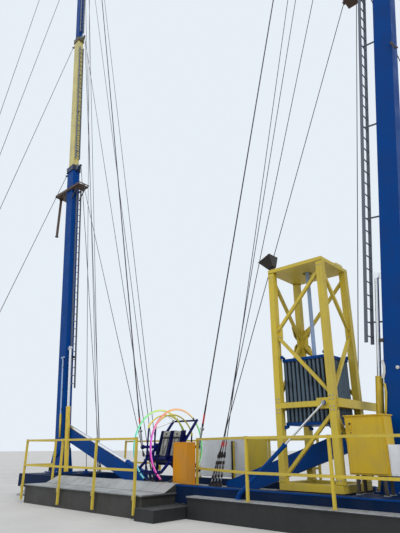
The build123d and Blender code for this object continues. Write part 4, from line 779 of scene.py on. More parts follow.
def make_frame_trim():
    """A flange lip along the front beam, end plates and the bolts of the feet."""
    lips, bolts = Piece("frame_lips"), Piece("frame_bolts")
    for side, _ in SIDES:
        face = side * (FRAME_END_X + END_PLATE_THICKNESS)
        for beam in (-1, 1):
            lips.box((side * FRAME_END_X, beam * 1.23, 0.28), (face, beam * 1.07, 0.62))
            for y in (1.2, 1.1):
                for z in (0.32, 0.45, 0.58):
                    bolts.bolt(Vector((face, beam * y, z)), (side, 0, 0), 0.014)
    lips.box((FRONT_SHEETS[1][0], -1.262, 0.612), (FRAME_END_X, BEAM_FRONT_Y, FRAME_TOP))
    for x in FOOT_XS:
        for y in (-FOOT_Y, FOOT_Y):
            bolts.corner_bolts(x, y, FOOT_PLATE_TOP, 0.16, 0.014)
            nut = Vector((x, y, 0.1))
            bolts.rod(nut, nut + UP * 0.045, 0.1, 6)
    lips.done("blue_paint", bevel=0.002)
    bolts.done("galvanised_steel")


make_beam_covers()
make_deck_trim()
make_frame_trim()


# Railings

RAIL_HALF = 0.025
RAIL_LEVELS = (1.625, 0.97)
POST_TOP = 1.65
CAP_LIP, CAP_HEIGHT = 0.003, 0.005
LEFT_POSTS = ((-4.0253, -1.4), (-4.0253, -2.3253), (-2.17, -2.3253), (-0.67, -2.3253), (0.83, -2.3253))
RIGHT_POSTS = ((1.13, -0.63, 0.475), (3.33, -1.55, 0.45), (5.18, -1.55, 0.45), (6.97, -1.55, 0.45))
REAR_POSTS = tuple((x, 1.2753) for x in (-3.97, -2.24, -0.51, 1.22, 1.94, 3.37))
CLAMP_HALF, CLAMP_LOW, CLAMP_HIGH, CLAMP_THICKNESS = 0.05, 0.37, 0.46, 0.004
FOOT_HALF, FOOT_THICKNESS = 0.055, 0.008


def make_rail_fittings():
    """Post caps, weld beads, clamps on the deck's edge, foot plates and their bolts."""
    yellow, bolts = Piece("rail_fittings"), Piece("rail_bolts")
    cap = RAIL_HALF + CAP_LIP
    for x, y in [post[:2] for post in LEFT_POSTS + RIGHT_POSTS + REAR_POSTS]:
        yellow.box((x - cap, y - cap, POST_TOP), (x + cap, y + cap, POST_TOP + CAP_HEIGHT))
        for level in RAIL_LEVELS:
            for z in (level - cap, level + cap):
                yellow.box((x - cap, y - cap, z - CAP_LIP), (x + cap, y + cap, z + CAP_LIP))
    for x, y in LEFT_POSTS[1:]:
        face = y - cap - CLAMP_THICKNESS
        yellow.box((x - CLAMP_HALF, face, CLAMP_LOW), (x + CLAMP_HALF, y - RAIL_HALF, CLAMP_HIGH))
        for dx in (-0.038, 0.038):
            bolts.bolt(Vector((x + dx, face, (CLAMP_LOW + CLAMP_HIGH) / 2)), -ALONG_Y, 0.009)
    for x, y, top in RIGHT_POSTS:
        plate_top = top + FOOT_THICKNESS
        yellow.box((x - FOOT_HALF, y - FOOT_HALF, top), (x + FOOT_HALF, y + FOOT_HALF, plate_top))
        bolts.corner_bolts(x, y, plate_top, 0.042, 0.007)
    for x, y in REAR_POSTS:
        for z in (0.36, 0.54):
            bolts.bolt(Vector((x, y + RAIL_HALF, z)), ALONG_Y, 0.011)
    yellow.done("yellow_paint", bevel=0.001)
    bolts.done("galvanised_steel")


make_rail_fittings()


# Masts: bolts and bands on the collars, flanged drums, foot plates, pipes and small plates

COLLAR_HEIGHT = 0.26
COLLAR_WALL = 0.0303
ARM_LENGTH = 0.3
BAND_THICKNESS, BAND_WIDTH, BAND_INSET = 0.008, 0.035, 0.02
DRUM_FACE_Y, DRUM_RADIUS, FLANGE_THICKNESS = 0.055, 0.14, 0.012
PIVOT_ALONG, PIVOT_FACE_Y, PIVOT_RADIUS, PIVOT_CAP = 1.25, 0.2603, 0.085, 0.014
FOOT_PLATE_Z = 0.665
PIPE_RADIUS, PIPE_OUTS, PIPE_ALONGS = 0.011, (-0.06, 0.0), (1.9, 5, 9, 12.6)
CLAMP_COUNT, FIRST_CLAMP, CLAMP_PITCH = 9, 2.2, 1.25
FRONT_PIPE_OUT, FRONT_PIPE_STAND = -0.12, 0.035
FRONT_PIPE_FOOT, FRONT_PIPE_SLEEVE_TOP, FRONT_PIPE_TOP = 1.75, 2.55, 4.55


def collar_sizes(index):
    """Half the width and half the depth of a collar over its plates."""
    return SECTION_WIDTHS[index] / 2 + COLLAR_WALL, SECTION_DEPTHS[index] / 2 + COLLAR_WALL


def eye(side, index, outward):
    """The eye on an arm of a head: outward is 1 for the outer arm and -1 for the inner one."""
    reach = collar_sizes(index)[0] + ARM_LENGTH
    return mast_at(side, SECTION_HEADS[index] - COLLAR_HEIGHT / 2, outward * reach)


def add_head_fittings(bands, bolts, drums, side, index):
    """Two bands, bolts, a drum's flanges and the pins of both eyes on one mast head."""
    head = SECTION_HEADS[index]
    middle = head - COLLAR_HEIGHT / 2
    half_width, half_depth = collar_sizes(index)
    axis = (mast_at(side, 1) - mast_at(side, 0)).normalized()
    reach = half_width + BAND_THICKNESS
    for along in (head - COLLAR_HEIGHT + BAND_INSET, head - BAND_INSET):
        for face in (-1, 1):
            back = face * (half_depth + BAND_THICKNESS / 2)
            ends = mast_at(side, along, -reach, back), mast_at(side, along, reach, back)
            bands.bar(*ends, BAND_THICKNESS, BAND_WIDTH)
            out = face * (half_width + BAND_THICKNESS / 2)
            ends = mast_at(side, along, out, -half_depth), mast_at(side, along, out, half_depth)
            bands.bar(*ends, BAND_WIDTH, BAND_THICKNESS, side=axis)
    for face in (-1, 1):
        for out in (-0.6, 0, 0.6):
            for up in (-0.05, 0.05):
                foot = mast_at(side, middle + up, out * half_width, face * half_depth)
                bolts.bolt(foot, (0, face, 0), 0.017)
        foot = mast_at(side, middle, -half_width - 0.06, face * DRUM_FACE_Y)
        rim = foot + ALONG_Y * face * FLANGE_THICKNESS
        drums.rod(foot, rim, DRUM_RADIUS, 28)
        bolts.bolt(rim, (0, face, 0), 0.026)
    for outward in (-1, 1):
        pin, reach = eye(side, index, outward), ALONG_Y * 0.052
        bolts.rod(pin - reach, pin + reach, 0.016, 12)
        bolts.bolt(pin - reach * 0.9, -ALONG_Y, 0.02)


def add_foot_fittings(bands, bolts, drums, side):
    """The pivot's caps, and the foot plate's bolts and ribs."""
    hub = mast_at(side, PIVOT_ALONG)
    for face in (-1, 1):
        foot = Vector((hub.x, face * PIVOT_FACE_Y, hub.z))
        cap = foot + ALONG_Y * face * PIVOT_CAP
        drums.rod(foot, cap, PIVOT_RADIUS, 24)
        bolts.bolt(cap, (0, face, 0), 0.045)
        bolts.bolt_circle(foot, ALONG_Y * face, 0.095, 8, 0, 0.008)
        for dx in (-0.44, -0.22, 0, 0.22, 0.44):
            bolts.bolt(Vector((hub.x + dx, face * 0.29, FOOT_PLATE_Z)), UP, 0.017)
        for dx in (-0.3, 0.3):
            x = hub.x + dx
            bands.box((x - 0.008, face * 0.2, FOOT_PLATE_Z), (x + 0.008, face * 0.28, 0.80))


def make_mast_fittings():
    """The fittings of both masts, from the feet to the heads."""
    bands, bolts, drums = Piece("collar_bands"), Piece("mast_bolts"), Piece("drum_flanges")
    for side, _ in SIDES:
        for index in range(len(SECTION_HEADS)):
            add_head_fittings(bands, bolts, drums, side, index)
        add_foot_fittings(bands, bolts, drums, side)
    bands.done("dark_paint", bevel=0.002)
    bolts.done("galvanised_steel")
    drums.done("grey_paint", bevel=0.002)


def make_mast_pipes():
    """Two hydraulic pipes in clamps up each first section, and a pale pipe before the left one."""
    pipes, clamps, pale = Piece("mast_pipes"), Piece("pipe_clamps"), Piece("mast_front_pipes")
    half_depth = SECTION_DEPTHS[0] / 2
    for side, _ in SIDES:
        for out in PIPE_OUTS:
            points = [mast_at(side, along, out, half_depth + 2 * PIPE_RADIUS) for along in PIPE_ALONGS]
            pipes.tube(points, PIPE_RADIUS, 10)
        for step in range(CLAMP_COUNT):
            along = FIRST_CLAMP + step * CLAMP_PITCH
            ends = [mast_at(side, along, out, half_depth + 0.012) for out in (-0.10, 0.04)]
            clamps.bar(*ends, 0.024, 0.03)
            clamps.bolt(mast_at(side, along, -0.03, half_depth + 0.024), ALONG_Y, 0.007)
    inner, stand = -SECTION_WIDTHS[0] / 2, -half_depth - FRONT_PIPE_STAND
    run = [mast_at(-1, along, FRONT_PIPE_OUT, stand) for along in (FRONT_PIPE_SLEEVE_TOP, FRONT_PIPE_TOP)]
    pale.tube(run, 0.028, 14)
    pale.tube([mast_at(-1, along, inner - 0.02, 0.05) for along in (3.1, 4.6)], 0.012, 10)
    top = FRONT_PIPE_TOP + 0.02
    pale.bar(mast_at(-1, top, -0.02, stand), mast_at(-1, top, -0.2, stand), 0.06, 0.05)
    clamps.bar(mast_at(-1, top, inner, 0.02), mast_at(-1, top, inner - 0.18, 0.10), 0.05, 0.07)
    for along in (2.7, 3.4, 4.2):
        ends = [mast_at(-1, along, out, -half_depth - 0.02) for out in (-0.17, -0.07)]
        clamps.bar(*ends, 0.04, 0.03)
    pipes.done("bright_steel", slot="cylinder_steel", smooth=True)
    pale.done("light_blue_paint")
    clamps.done("black_rubber", slot="dark_paint", bevel=0.002)


def make_mast_details():
    """Sleeves, stays and small plates at the feet of the masts, and the bracket high on the right one."""
    sleeves, stays, plates = Piece("mast_sleeves"), Piece("mast_stays"), Piece("mast_plates")
    front = -SECTION_DEPTHS[0] / 2

    def before_right(along, out, gap):
        """A point before the right mast's front face."""
        return mast_at(1, along, out, front - gap)

    sleeves.tube([
        mast_at(-1, along, FRONT_PIPE_OUT, front - FRONT_PIPE_STAND)
        for along in (FRONT_PIPE_FOOT, FRONT_PIPE_SLEEVE_TOP)
    ], 0.034, 16)
    bowed = ((1.95, -0.20), (2.15, -0.19), (2.45, -0.175), (2.62, -0.20))
    sleeves.tube([before_right(*spot, 0.03) for spot in bowed], 0.022, 12)
    curved = ((2.72, -0.24, 0.01), (2.84, -0.205, 0.02), (2.96, -0.205, 0.02), (3.08, -0.245, 0.01))
    plates.strap([before_right(*spot) for spot in curved], 0.055, 0.006)
    plates.rod(before_right(2.94, 0.06, 0), before_right(2.94, 0.06, 0.02), 0.035, 20)
    plates.rod(before_right(2.94, 0.06, 0.02), before_right(2.94, 0.06, 0.032), 0.016, 16)
    stays.bar(before_right(3.48, -0.2, 0.02), before_right(3.48, -0.29, 0.02), 0.05, 0.07)
    bend = before_right(10.46, 0.30, 0.02)
    stays.bar(before_right(10.68, 0.2, 0.02), bend, 0.05, 0.05)
    stays.rod(bend, before_right(10.44, 0.36, 0.02), 0.022, 12)
    sleeves.done("yellow_paint", smooth=True)
    stays.done("dark_paint", bevel=0.003)
    plates.done("white_steel", slot="pale_panel")


make_mast_fittings()
make_mast_pipes()
make_mast_details()


# Ropes: sockets, turnbuckles, sleeves and tape at their lower ends

DECK_EYE_X, DECK_EYE_Z = 1.12, 0.56
DECK_EYE_Y = [0.05 + (place - 1.5) * 0.126 for place in range(4)]
DECK_ROPE_SHIFT, YOKE_ROPE_SHIFT, GUY_SHIFT = 0.0103, 0.0103, 0.0123
YOKE_EYE = (1.17, -0.5, 1.87)
PLATFORM_ALONGS = {-1: 12.15, 1: 13.0}
PLATFORM_INNER = {-1: 0.6, 1: 0.85}
ANCHOR_X, ANCHOR_Y, ANCHOR_Z = 9.7, 4.5, 0.16
FIRST_ANCHOR = (8.5, 3.67)
ANCHOR_PITCH = 0.108


def platform_eye(side):
    """The eye on the inner corner of a work platform."""
    reach = SECTION_WIDTHS[0] / 2 + PLATFORM_INNER[side] + 0.018
    return mast_at(side, PLATFORM_ALONGS[side]) + Vector((-side * reach, 0, -0.025))


def second_eye(side):
    """The eye under the top section's inner arm."""
    along = SECTION_HEADS[3] - COLLAR_HEIGHT / 2 - 0.053
    return mast_at(side, along, -collar_sizes(3)[0] - ARM_LENGTH * 0.75)


def between(start, end, low, high):
    """The two points of a line at two heights."""
    return [start + (end - start) * ((z - start.z) / (end.z - start.z)) for z in (low, high)]


def add_turnbuckle(bodies, threads, foot, top):
    """An open turnbuckle between two points of a rope."""
    run = (top - foot).normalized()
    sideways = frame_along(run, ALONG_Y) @ ALONG_X
    bars = foot + run * 0.14, top - run * 0.14
    for face in (-1, 1):
        bodies.rod(bars[0] + sideways * face * 0.021, bars[1] + sideways * face * 0.021, 0.009, 8)
    for spot in bars:
        bodies.rod(spot - run * 0.035, spot + run * 0.035, 0.03, 12)
    threads.rod(foot, bars[0] + run * 0.1, 0.013, 10)
    threads.rod(bars[1] - run * 0.1, top, 0.013, 10)
    for spot in (foot, top):
        bodies.rod(spot - run * 0.03, spot + run * 0.03, 0.024, 10)


def make_rope_ends():
    """What joins each rope to its eye: turnbuckles and sockets at the deck, tape at the capsule."""
    bodies, threads = Piece("turnbuckle_bodies"), Piece("turnbuckle_threads")
    sockets, tape = Piece("rope_sockets"), Piece("rope_tape")
    for side, _ in SIDES:
        tops = platform_eye(side), eye(side, 1, -1), eye(side, 2, -1), second_eye(side)
        for y, top in zip(DECK_EYE_Y, tops):
            rope = Vector((side * DECK_EYE_X, y, DECK_EYE_Z)), top - ALONG_Y * DECK_ROPE_SHIFT
            add_turnbuckle(bodies, threads, *between(*rope, 0.63, 1.22))
            sockets.rod(*between(*rope, 1.22, 1.34), 0.04, 12, 0.018)
            tape.rod(*between(*rope, 1.46, 1.58), 0.0165, 12)
        yoke = Vector((side * YOKE_EYE[0], *YOKE_EYE[1:]))
        for shift in (-YOKE_ROPE_SHIFT, YOKE_ROPE_SHIFT):
            rope = yoke + ALONG_Y * shift, eye(side, 3, -1) + ALONG_Y * shift
            sockets.rod(*between(*rope, 1.93, 2.0), 0.019, 12)
            tape.rod(*between(*rope, 2.0, 2.22), 0.0165, 12)
            sockets.rod(*between(*rope, 2.22, 2.46), 0.014, 12)
        threads.rod(yoke - ALONG_Y * 0.05, yoke + ALONG_Y * 0.05, 0.014, 12)
        for face in (-1, 1):
            for index in range(4):
                x, y = FIRST_ANCHOR if index == 0 else (ANCHOR_X + (index - 2) * ANCHOR_PITCH, ANCHOR_Y)
                arm = -1 if face > 0 and index < 3 else 1
                foot = Vector((side * x, face * y, ANCHOR_Z))
                rope = foot, eye(side, index, arm) + ALONG_Y * face * GUY_SHIFT
                add_turnbuckle(bodies, threads, *between(*rope, 0.26, 0.95))
                sockets.rod(*between(*rope, 0.95, 1.1), 0.03, 12, 0.016)
    bodies.done("dark_paint", bevel=0.001)
    threads.done("bright_steel", slot="cylinder_steel")
    sockets.done("black_rubber", slot="dark_paint")
    tape.done("red_tape", slot="dark_paint")


make_rope_ends()


# Spring tower: bolted gussets, winged gussets, a housing on the top plate and the lamp's lens

TOWER_LOW = Vector((3.63, -0.87, 0.64))
TOWER_HIGH = Vector((5.03, 0.37, 5.37))
TOWER_LEG = 0.145
LEG_HALF = TOWER_LEG / 2
LEG_XS = (TOWER_LOW.x + LEG_HALF, TOWER_HIGH.x - LEG_HALF)
LEG_YS = (TOWER_LOW.y + LEG_HALF, TOWER_HIGH.y - LEG_HALF)
BRACE_NODE_Z = (TOWER_HIGH.z - 0.08 + 2.355) / 2
GUSSET_FACE = 0.0325
WING_THICKNESS = 0.012
HOUSING_LOW = Vector((4.78, 0.0, 5.37))
HOUSING_HIGH = Vector((5.02, 0.34, 5.51))
HOUSING_DOME = 0.05
LAMP_LEAN, LAMP_FLARE = math.radians(24), math.radians(22)
LAMP_BASE, LAMP_HEIGHT, LAMP_NECK = Vector((3.705, -0.795, 5.43)), 0.26, 0.075
LAMP_RIM = 0.012


def make_tower_fittings():
    """Foot and head plates of the legs, and the bolts of gussets, rings and the top plate."""
    plates, bolts = Piece("tower_plates"), Piece("tower_bolts")
    for x, outward in zip(LEG_XS, (-1, 1)):
        for y, front in zip(LEG_YS, (-1, 1)):
            reach = LEG_HALF + 0.02
            plates.box((x - reach, y - LEG_HALF, 0.78), (x + reach, y + LEG_HALF, 0.792))
            plates.box((x - LEG_HALF, y - LEG_HALF, 5.272), (x + LEG_HALF, y + LEG_HALF, 5.29))
            for radius, levels in ((0.011, (2.13, 2.2, 2.34, 2.41)), (0.01, (0.86, 5.18))):
                for z in levels:
                    for dx in (-0.035, 0.035):
                        bolts.bolt(Vector((x + dx, y + front * LEG_HALF, z)), (0, front, 0), radius)
            for z in (2.15, 2.27, 2.39):
                bolts.bolt(Vector((x + outward * LEG_HALF, y, z)), (outward, 0, 0), 0.011)
    for x, y, spread, axis in (
        (LEG_XS[0], LEG_YS[0], ALONG_X, -ALONG_Y), (LEG_XS[1], LEG_YS[1], -ALONG_Y, ALONG_X),
        (LEG_XS[0], LEG_YS[1], -ALONG_Y, -ALONG_X), (LEG_XS[0], LEG_YS[1], ALONG_X, ALONG_Y),
    ):
        for up in (-0.09, 0.09):
            for reach in (0.10, 0.15):
                spot = Vector((x, y, BRACE_NODE_Z + up * (0.6 + reach * 2))) + spread * reach
                bolts.bolt(spot + axis * GUSSET_FACE, axis, 0.009)
    for index in range(6):
        x = TOWER_LOW.x + 0.07 + index * (TOWER_HIGH.x - TOWER_LOW.x - 0.14) / 5
        for y in (TOWER_LOW.y + 0.04, TOWER_HIGH.y - 0.04):
            if index or y > 0:
                bolts.bolt(Vector((x, y, TOWER_HIGH.z)), UP, 0.014)
    rod_top = Vector((4.33, -0.25, 5.415))
    bolts.bolt_circle(rod_top, UP, 0.115, 8, 22.5, 0.011)
    bolts.rod(rod_top, rod_top + UP * 0.05, 0.055, 6)
    bolts.bolt(Vector((4.81, -0.9505, 2.27)), -ALONG_Y, 0.028)
    plates.done("yellow_paint", bevel=0.002)
    bolts.done("galvanised_steel")


def make_brace_wings():
    """Winged gussets where the braces meet the rear left leg, hollowed between the bars."""
    piece = Piece("brace_wings")
    hollow = [math.radians(10 + step * 13) for step in range(7)]
    outline = [(-0.06, 0.06), (0.10, 0.05), (0.19, 0.12), (0.27, 0.34), (0.21, 0.37)]
    outline += [(0.20 - 0.19 * math.sin(turn), 0.19 + 0.15 * math.cos(turn) ** 2) for turn in hollow]
    outline += [(-0.06, 0.30)]
    for spread, normal in ((ALONG_X, ALONG_Y), (-ALONG_Y, -ALONG_X)):
        corner = Vector((LEG_XS[0], LEG_YS[1], BRACE_NODE_Z)) + normal * (LEG_HALF - 0.004)
        for rise in (-1, 1):
            points = [corner + spread * u + UP * rise * v for u, v in outline]
            piece.prism(points, normal * WING_THICKNESS)
    bmesh.ops.recalc_face_normals(piece.shape, faces=piece.shape.faces[:])
    piece.done("yellow_paint")


def make_top_housing():
    """The rounded housing on the top plate's rear right corner, with its straps and foot."""
    piece = Piece("top_housing")
    middle = (HOUSING_LOW + HOUSING_HIGH) / 2
    radius = (HOUSING_HIGH.z - HOUSING_LOW.z) / 2
    start = Vector((middle.x, HOUSING_LOW.y + HOUSING_DOME, middle.z))
    end = Vector((middle.x, HOUSING_HIGH.y - HOUSING_DOME, middle.z))
    piece.rod(start, end, radius, 28)
    piece.rod(start - ALONG_Y * HOUSING_DOME, start, radius * 0.6, 28, radius)
    piece.rod(end, end + ALONG_Y * HOUSING_DOME, radius, 28, radius * 0.6)
    foot = HOUSING_LOW.z
    piece.box((middle.x - 0.09, start.y, foot), (middle.x + 0.09, end.y, foot + 0.03))
    for spot in (start + ALONG_Y * 0.04, end - ALONG_Y * 0.04):
        piece.rod(spot - ALONG_Y * 0.012, spot + ALONG_Y * 0.012, radius + 0.004, 28)
    piece.done("mast_yellow_paint", bevel=0.003)


def make_lamp_glass():
    """The lens and rim over the wide mouth of the tower's lamp box."""
    rim, lens = Piece("lamp_rim"), Piece("lamp_lens")
    axis = Vector((-math.sin(LAMP_LEAN), 0, math.cos(LAMP_LEAN)))
    level = Vector((math.cos(LAMP_LEAN), 0, math.sin(LAMP_LEAN)))
    top = LAMP_BASE + axis * LAMP_HEIGHT
    half = LAMP_NECK + LAMP_HEIGHT * math.tan(LAMP_FLARE)
    inset = half - LAMP_RIM / 2
    for face in (-1, 1):
        for shift, reach in ((level, ALONG_Y), (ALONG_Y, level)):
            edge = top + shift * face * inset + axis * 0.003
            rim.bar(edge - reach * half, edge + reach * half, LAMP_RIM, LAMP_RIM, side=axis)
    turn = Matrix((level, ALONG_Y, axis)).transposed()
    inside = half - 0.014
    lens.box(top - Vector((inside, inside, 0)), top + Vector((inside, inside, 0.004)), turn)
    rim.done("black_rubber", slot="dark_paint")
    lens.done("galvanised_steel")


make_tower_fittings()
make_brace_wings()
make_top_housing()
make_lamp_glass()


# The silver rod of the front strut and of the left jack, with their gland nuts

STRUT_TOP = Vector((4.81, -0.9303, 2.27))
STRUT_FOOT = Vector((2.92, -1.33, 0.52))
STRUT_ROD_SHARE = 0.45
STRUT_ROD_RADIUS, STRUT_NUT_RADIUS = 0.0215, 0.05
GIRDER_SLOPE = 0.342
JACK_TOP_ALONG, JACK_BACK = 2.09, 0.09
JACK_ROD_RADIUS, JACK_NUT_RADIUS = 0.0565, 0.082


def make_strut_rods():
    """The bright rods over the struts' upper ends, and the nuts at each end of their cylinders."""
    rods, nuts = Piece("strut_rods"), Piece("strut_nuts")
    middle = STRUT_TOP + (STRUT_FOOT - STRUT_TOP) * STRUT_ROD_SHARE
    run = (STRUT_FOOT - STRUT_TOP).normalized()
    rods.rod(STRUT_TOP + run * 0.04, middle, STRUT_ROD_RADIUS, 20)
    nuts.rod(middle - run * 0.03, middle + run * 0.03, STRUT_NUT_RADIUS, 12)
    nuts.rod(STRUT_FOOT - run * 0.1, STRUT_FOOT - run * 0.04, STRUT_NUT_RADIUS, 12)
    slope = Vector((1, 0, -GIRDER_SLOPE)).normalized()
    rise = Vector((GIRDER_SLOPE, 0, 1)).normalized()
    top = mast_at(-1, JACK_TOP_ALONG, -SECTION_WIDTHS[0] / 2 - 0.0003, JACK_BACK)
    start = top + slope * 0.01 + rise * 0.05
    rods.rod(start + slope * 0.01, start + slope * 3.49, JACK_ROD_RADIUS, 28)
    for reach in (3.46, 4.34):
        nuts.rod(start + slope * reach, start + slope * (reach + 0.07), JACK_NUT_RADIUS, 12)
    rods.done("bright_steel", slot="cylinder_steel")
    nuts.done("blue_paint", bevel=0.003)


make_strut_rods()


# Cabinet, grey box and desk

DOOR_FRONT_Y = -0.8223
DOOR_LOW, DOOR_HIGH = Vector((5.182, DOOR_FRONT_Y, 1.002)), Vector((5.888, DOOR_FRONT_Y, 1.968))
DOOR_LOCK_X, DOOR_LOCK_Z, DOOR_KEY_ZS = 5.267, 1.86, (1.70, 1.66)
FOLD, FOLD_THICKNESS = 0.016, 0.003
SEAL_HALF, SEAL_YS = 0.004, (-0.801, -0.7995)
VENT_COUNT, VENT_FOOT, VENT_PITCH = 7, 1.62, 0.035
GREY_BOX_LOW, GREY_BOX_HIGH = Vector((5.926, -0.781, 0.978)), Vector((6.154, -0.792, 1.482))
BOX_FOOT_Z = 0.97
DESK_LOW, DESK_HIGH = Vector((0.63, -0.95, 0.475)), Vector((1.09, -0.67, 1.555))
DESK_EDGE_HALF, DESK_LIP = 0.007, 0.004


def add_door_frame(piece, half, front, back, shorter):
    """Four strips along the door's edges, the upright ones shorter at both ends."""
    low, high = DOOR_LOW, DOOR_HIGH
    for z in (low.z + half, high.z - half):
        piece.box((low.x, front, z - half), (high.x, back, z + half))
    for x in (low.x + half, high.x - half):
        piece.box((x - half, front, low.z + shorter), (x + half, back, high.z - shorter))


def make_cabinet_fittings():
    """A rubber seal, a lock with its keyholes and folded edges on the door; vents, glands and feet."""
    seal, lock, folds = Piece("door_seal"), Piece("door_lock"), Piece("door_folds")
    face = DOOR_FRONT_Y
    add_door_frame(seal, SEAL_HALF, *SEAL_YS, 0)
    add_door_frame(folds, FOLD / 2, face - FOLD_THICKNESS, face, FOLD)
    spot = Vector((DOOR_LOCK_X, face - 0.024, DOOR_LOCK_Z))
    rose = spot - ALONG_Y * 0.008
    lock.rod(spot, rose, 0.02, 20)
    lock.rod(rose, rose - ALONG_Y * 0.004, 0.011, 16)
    for z in DOOR_KEY_ZS:
        foot = Vector((DOOR_LOCK_X, face, z))
        lock.rod(foot, foot - ALONG_Y * 0.006, 0.012, 16)
    seal.done("black_rubber", body="cabinet_door", slot="dark_paint")
    lock.done("black_rubber", body="cabinet_door", slot="dark_paint", bevel=0.001)
    folds.done("cabinet_yellow_paint", body="cabinet_door", bevel=0.001)
    vents, trim = Piece("cabinet_vents"), Piece("cabinet_trim")
    tilt = Matrix.Rotation(math.radians(-24), 3, "Y")
    for index in range(VENT_COUNT):
        z = VENT_FOOT + index * VENT_PITCH
        vents.box((5.145, -0.70, z), (5.15, -0.55, z + 0.012), tilt)
    for x in (5.35, 5.5, 5.65):
        foot = Vector((x, -0.62, BOX_FOOT_Z))
        vents.rod(foot, foot - UP * 0.045, 0.024, 12)
        vents.rod(foot - UP * 0.045, foot - UP * 0.07, 0.015, 12)
    for y in (-0.76, -0.49):
        for x in (5.2, 5.87):
            trim.bolt(Vector((x, y, 2.018)), UP, 0.01)
        for x in (5.28, 5.79):
            trim.box((x - 0.05, y - 0.05, FRAME_TOP), (x + 0.05, y + 0.05, FRAME_TOP + 0.01))
            for shift in (-0.038, 0.038):
                trim.bolt(Vector((x + shift, y + shift, FRAME_TOP + 0.01)), UP, 0.007)
    vents.done("black_rubber", slot="dark_paint")
    trim.done("galvanised_steel")


def make_grey_box_fittings():
    """A lid with its raised field, four corner screws and three cable glands."""
    lid, screws, glands = Piece("grey_box_lid"), Piece("grey_box_screws"), Piece("grey_box_glands")
    low, high = GREY_BOX_LOW, GREY_BOX_HIGH
    lid.box(low, high)
    lid.box((low.x + 0.024, high.y - 0.003, low.z + 0.024), (high.x - 0.024, high.y, high.z - 0.024))
    for x in (low.x + 0.012, high.x - 0.012):
        for z in (low.z + 0.012, high.z - 0.012):
            foot = Vector((x, high.y, z))
            screws.rod(foot, foot - ALONG_Y * 0.003, 0.007, 12)
    for x in (5.98, 6.04, 6.1):
        foot = Vector((x, -0.69, BOX_FOOT_Z))
        glands.rod(foot, foot - UP * 0.03, 0.018, 12)
    lid.done("pale_panel", bevel=0.004)
    screws.done("bright_steel", slot="cylinder_steel")
    glands.done("black_rubber", slot="dark_paint")


def make_desk_fittings():
    """Folded edge strips, a plinth and a lipped top on the desk."""
    strips, plinth = Piece("desk_strips"), Piece("desk_plinth")
    low, high = DESK_LOW, DESK_HIGH
    edge, lip, lip_low, lip_high = DESK_EDGE_HALF, DESK_LIP, high.z - 0.02, high.z + 0.006
    for x in (low.x, high.x):
        for y in (low.y, high.y):
            strips.box((x - edge, y - edge, low.z), (x + edge, y + edge, high.z))
        strips.box((x - lip, low.y, lip_low), (x + lip, high.y, lip_high))
    for y in (low.y, high.y):
        strips.box((low.x, y - lip, lip_low), (high.x, y + lip, lip_high))
    plinth.box((low.x - lip, low.y - lip, low.z), (high.x + lip, high.y + lip, low.z + 0.03))
    strips.done("orange_paint", bevel=0.003)
    plinth.done("dark_paint")


make_cabinet_fittings()
make_grey_box_fittings()
make_desk_fittings()


# Capsule: cushions, harness, rolled seat edges, hoop clips, hub flanges and a foot rest

SEAT_SHIFT = 0.007
SEAT_PAN = ((-0.44, -0.24), (-0.02, -0.32))
SEAT_BACK = ((-0.02, -0.32), (0.17, 0.40))
SEAT_OUTLINE = (
    (-0.48, -0.215), (-0.43, -0.19), (-0.14, -0.245), (-0.095, -0.18), (0.075, 0.40), (0.23, 0.40),
)
PADS = (
    ("pan", SEAT_PAN, 0.020, 0.350, 0.045, (0.5,)),
    ("back", SEAT_BACK, 0.090, 0.540, 0.045, (0.34, 0.67)),
    ("head", SEAT_BACK, 0.570, 0.730, 0.060, ()),
)
PAD_HALF = 0.156
PAD_CUTS = 15
SEAM_PULL, CROWN_PULL = 0.03, 0.05
CHANNEL_DEPTH, CHANNEL_HALF = 0.010, 0.05
SEAT_MIDDLE, CHEEK_REACH, CHEEK_RADIUS = 0.2, 0.178, 0.0135
STRAP_X = 0.065
# Points of the straps: along the seat line, off it, and sideways as a share of STRAP_X or in metres
SHOULDER = (
    (0.555, -0.002, 1), (0.553, 0.04, 1), (0.54, 0.056, 1),
    (0.42, 0.060, 1), (0.25, 0.060, 0.5), (0.13, 0.062, 0.3),
)
LAP_BELT = (
    (0.33, 0.02, -0.163), (0.30, 0.055, -0.12), (0.285, 0.068, 0),
    (0.30, 0.055, 0.12), (0.33, 0.02, 0.163),
)
HOOP_X, HOOP_RADIUS, CLIP_RADIUS = 0.31, 0.93, 0.027
HUB_X, COLLAR_X = 0.476, 1.005
CROSS_TUBE_ANGLES = (-40, -90, -140, 129)


def off_line(line, along, up, x):
    """A point along a seat line from its start and up off its left side."""
    (y1, z1), (y2, z2) = line
    length = math.dist(*line)
    run_y, run_z = (y2 - y1) / length, (z2 - z1) / length
    y = CAPSULE_CENTRE.y + SEAT_SHIFT + y1 + along * run_y - up * run_z
    return Vector((x, y, CAPSULE_CENTRE.z + z1 + along * run_z + up * run_y))


def on_hoop(x, radius, angle):
    """A point about the capsule's pivot line, the angle taken from the front, upward."""
    turn = math.radians(angle)
    return CAPSULE_CENTRE + Vector((x, -radius * math.cos(turn), radius * math.sin(turn)))


